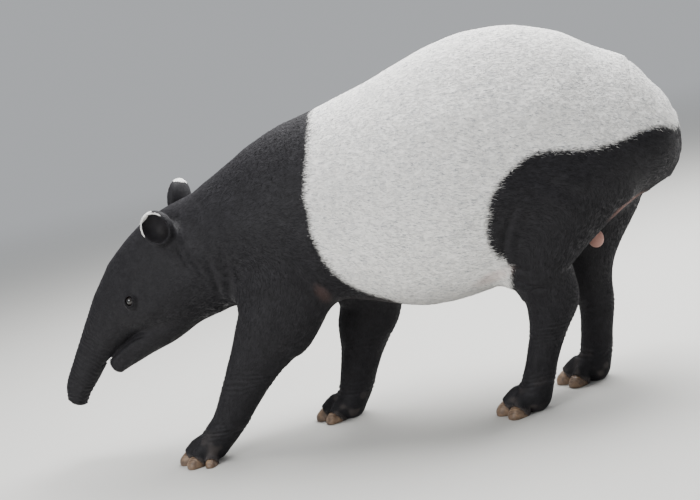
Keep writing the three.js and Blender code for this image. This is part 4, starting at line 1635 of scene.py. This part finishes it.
@dataclass
class Eye:
    """An eyeball with the cornea standing out of it."""

    socket: EyeSocket
    shift: np.ndarray

    def build(self) -> bpy.types.Object:
        """Makes the eyeball and lets it stand for its node."""
        directions, faces = ball_grid(48, 40)
        axial = directions[:, 2]
        cornea = 1.1 * smooth(math.cos(CORNEA_RADIUS / EYE_RADIUS), 1.0, axial) ** 0.8
        local = directions * (EYE_RADIUS - 0.3 + cornea)[:, None]
        points = (local @ self.socket.axes() + self.socket.centre + self.shift) * MM
        name = "eye_left" if self.socket.side < 0 else "eye_right"
        thing = new_object(f"{name}_ball", points, faces)
        centre = (self.socket.centre + self.shift) * MM
        thing.data.materials.append(WetEye().material(centre, self.socket.out))
        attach(thing, ROOT)
        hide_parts(name)
        return thing


@dataclass
class Hoof:
    """One hoof: a rounded nail that is flat on the ground."""

    name: str
    toe: Toe
    shift: np.ndarray

    def build(self, finish: bpy.types.Material) -> bpy.types.Object:
        """Makes the hoof and lets it stand for its node."""
        directions, faces = ball_grid(40, 24)
        form = self.toe.hoof()
        stretched = directions * form.radii
        local = stretched / form.fill(stretched)[:, None]
        rise = local[:, 2] / form.radii[2]
        local[:, 0] -= 7.0 * self.toe.scale * smooth(0, 0.9, rise) * smooth(0.1, 0.8, directions[:, 0])
        points = local @ form.axes + form.centre
        points[:, 2] = np.maximum(points[:, 2], 0.0)
        thing = new_object(f"{self.name}_horn", (points + self.shift) * MM, faces)
        thing.data.materials.append(finish)
        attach(thing, ROOT)
        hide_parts(self.name)
        return thing


@dataclass
class Studio:
    """A pale floor, soft lamps and the camera at the photo's view.

    Args:
        shift: From the sections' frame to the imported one, in millimetres.
    """

    shift: np.ndarray
    azimuth: float = 11
    elevation: float = 9
    roll: float = 12
    distance: float = 3.6
    aim_height: float = 0.52
    focal_px: float = 1250
    width_px: float = 700
    sensor_mm: float = 36
    floor_radius: float = 14
    floor_colour: str = "#c9c8c4"

    def build(self) -> None:
        """Makes floor, world, lamps and camera."""
        self.floor()
        self.world()
        self.lamp("overhead softbox", (0.5, 0.9, 3.4), (0.1, 0, 0.6), 3.2, 390)
        self.lamp("front softbox", (-2.6, -3.4, 2.2), (-0.2, 0, 0.5), 2.2, 140)
        self.lamp("rear softbox", (3.2, 2.4, 2.2), (0.2, 0, 0.6), 2.0, 110)
        self.camera()

    def floor(self) -> None:
        """Makes a round floor that melts into the background far out."""
        count = 96
        turn = np.arange(count) * math.tau / count
        points = np.stack([np.cos(turn), np.sin(turn), np.zeros(count)], 1) * self.floor_radius
        points[:, 2] = -0.0006
        thing = new_object("studio_floor", points, [[list(range(count))]])
        material, tree = blank_material("matt paper floor")
        place = put(tree, "ShaderNodeTexCoord").outputs["Object"]
        ring = put(tree, "ShaderNodeVectorMath", {0: place}, operation="LENGTH").outputs["Value"]
        sockets = {"Value": ring, "From Min": 3.0, "From Max": 11.0}
        far = put(tree, "ShaderNodeMapRange", sockets, interpolation_type="SMOOTHSTEP").outputs["Result"]
        sockets = {"Base Color": linear(self.floor_colour), "Roughness": 0.9, "Specular IOR Level": 0.2}
        paper = put(tree, "ShaderNodeBsdfPrincipled", sockets)
        clear = put(tree, "ShaderNodeBsdfTransparent")
        mixed = put(tree, "ShaderNodeMixShader", {0: far, 1: paper.outputs[0], 2: clear.outputs[0]})
        put(tree, "ShaderNodeOutputMaterial", {"Surface": mixed.outputs[0]})
        thing.data.materials.append(material)

    def world(self) -> None:
        """Makes an even, pale surrounding."""
        world = bpy.data.worlds.new("studio")
        world.use_nodes = True
        world.node_tree.nodes.clear()
        sockets = {"Color": linear("#dfe2e6"), "Strength": 0.62}
        light = put(world.node_tree, "ShaderNodeBackground", sockets)
        put(world.node_tree, "ShaderNodeOutputWorld", {"Surface": light.outputs[0]})
        bpy.context.scene.world = world

    @staticmethod
    def lamp(name: str, at: Spot, aim: Spot, size: float, power: float) -> None:
        """Makes one soft lamp.

        Args:
            name: Its name.
            at: Where it hangs, in metres.
            aim: What it points at.
            size: The side of its square.
            power: Its watts.
        """
        data = bpy.data.lights.new(name, "AREA")
        data.size, data.energy = size, power
        thing = bpy.data.objects.new(name, data)
        thing.location = at
        thing.rotation_euler = (Vector(aim) - Vector(at)).to_track_quat("-Z", "Y").to_euler()
        bpy.context.scene.collection.objects.link(thing)

    def camera(self) -> None:
        """Makes the camera. It rolls, because the animal stood on sloping ground."""
        az, el, roll = (math.radians(v) for v in (self.azimuth, self.elevation, self.roll))
        look = Vector((-math.sin(az) * math.cos(el), math.cos(az) * math.cos(el), -math.sin(el)))
        flat = Vector((math.cos(az), math.sin(az), 0))
        rise = flat.cross(look)
        right = math.cos(roll) * flat - math.sin(roll) * rise
        up = math.sin(roll) * flat + math.cos(roll) * rise
        target = Vector((self.shift[0] * MM, 0, self.aim_height))
        data = bpy.data.cameras.new("camera")
        data.sensor_width = self.sensor_mm
        data.lens = self.focal_px / self.width_px * self.sensor_mm
        thing = bpy.data.objects.new("camera", data)
        facing = Matrix((right, up, -look)).transposed().to_4x4()
        thing.matrix_world = Matrix.Translation(target - look * self.distance) @ facing
        bpy.context.scene.collection.objects.link(thing)
        bpy.context.scene.camera = thing


def frame_shift(anatomy: Anatomy) -> np.ndarray:
    """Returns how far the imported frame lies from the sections' frame, told by the left eye."""
    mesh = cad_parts["eye_left"].data
    places = np.array([tuple(v.co) for v in mesh.vertices])
    packed = (places.min(0) + places.max(0)) / 2 / MM
    return np.array((packed[0] - anatomy.eyes[0].centre[0], 0, 0))


def main() -> None:
    """Builds the tapir and the studio, in order."""
    logging.basicConfig(level=logging.INFO, format="%(relativeCreated)d ms %(message)s")
    anatomy = Anatomy()
    shift = frame_shift(anatomy)
    LOG.info("shift %s", shift)
    Studio(shift).build()
    skin = Skin(anatomy, shift)
    surface = skin.surface()
    skin.build(surface)
    Coat(surface, shift, TUFTS).build()
    for socket in anatomy.eyes:
        Eye(socket, shift).build()
    horn = Keratin().material()
    for name, toes in anatomy.toes.items():
        pair, side = name.split("_")
        for number, toe in enumerate(toes):
            Hoof(f"{pair}_hoof_{side}_{number + 1}", toe, shift).build(horn)
    LOG.info("eyes and hooves are in place")


if __name__ == "__main__":
    main()
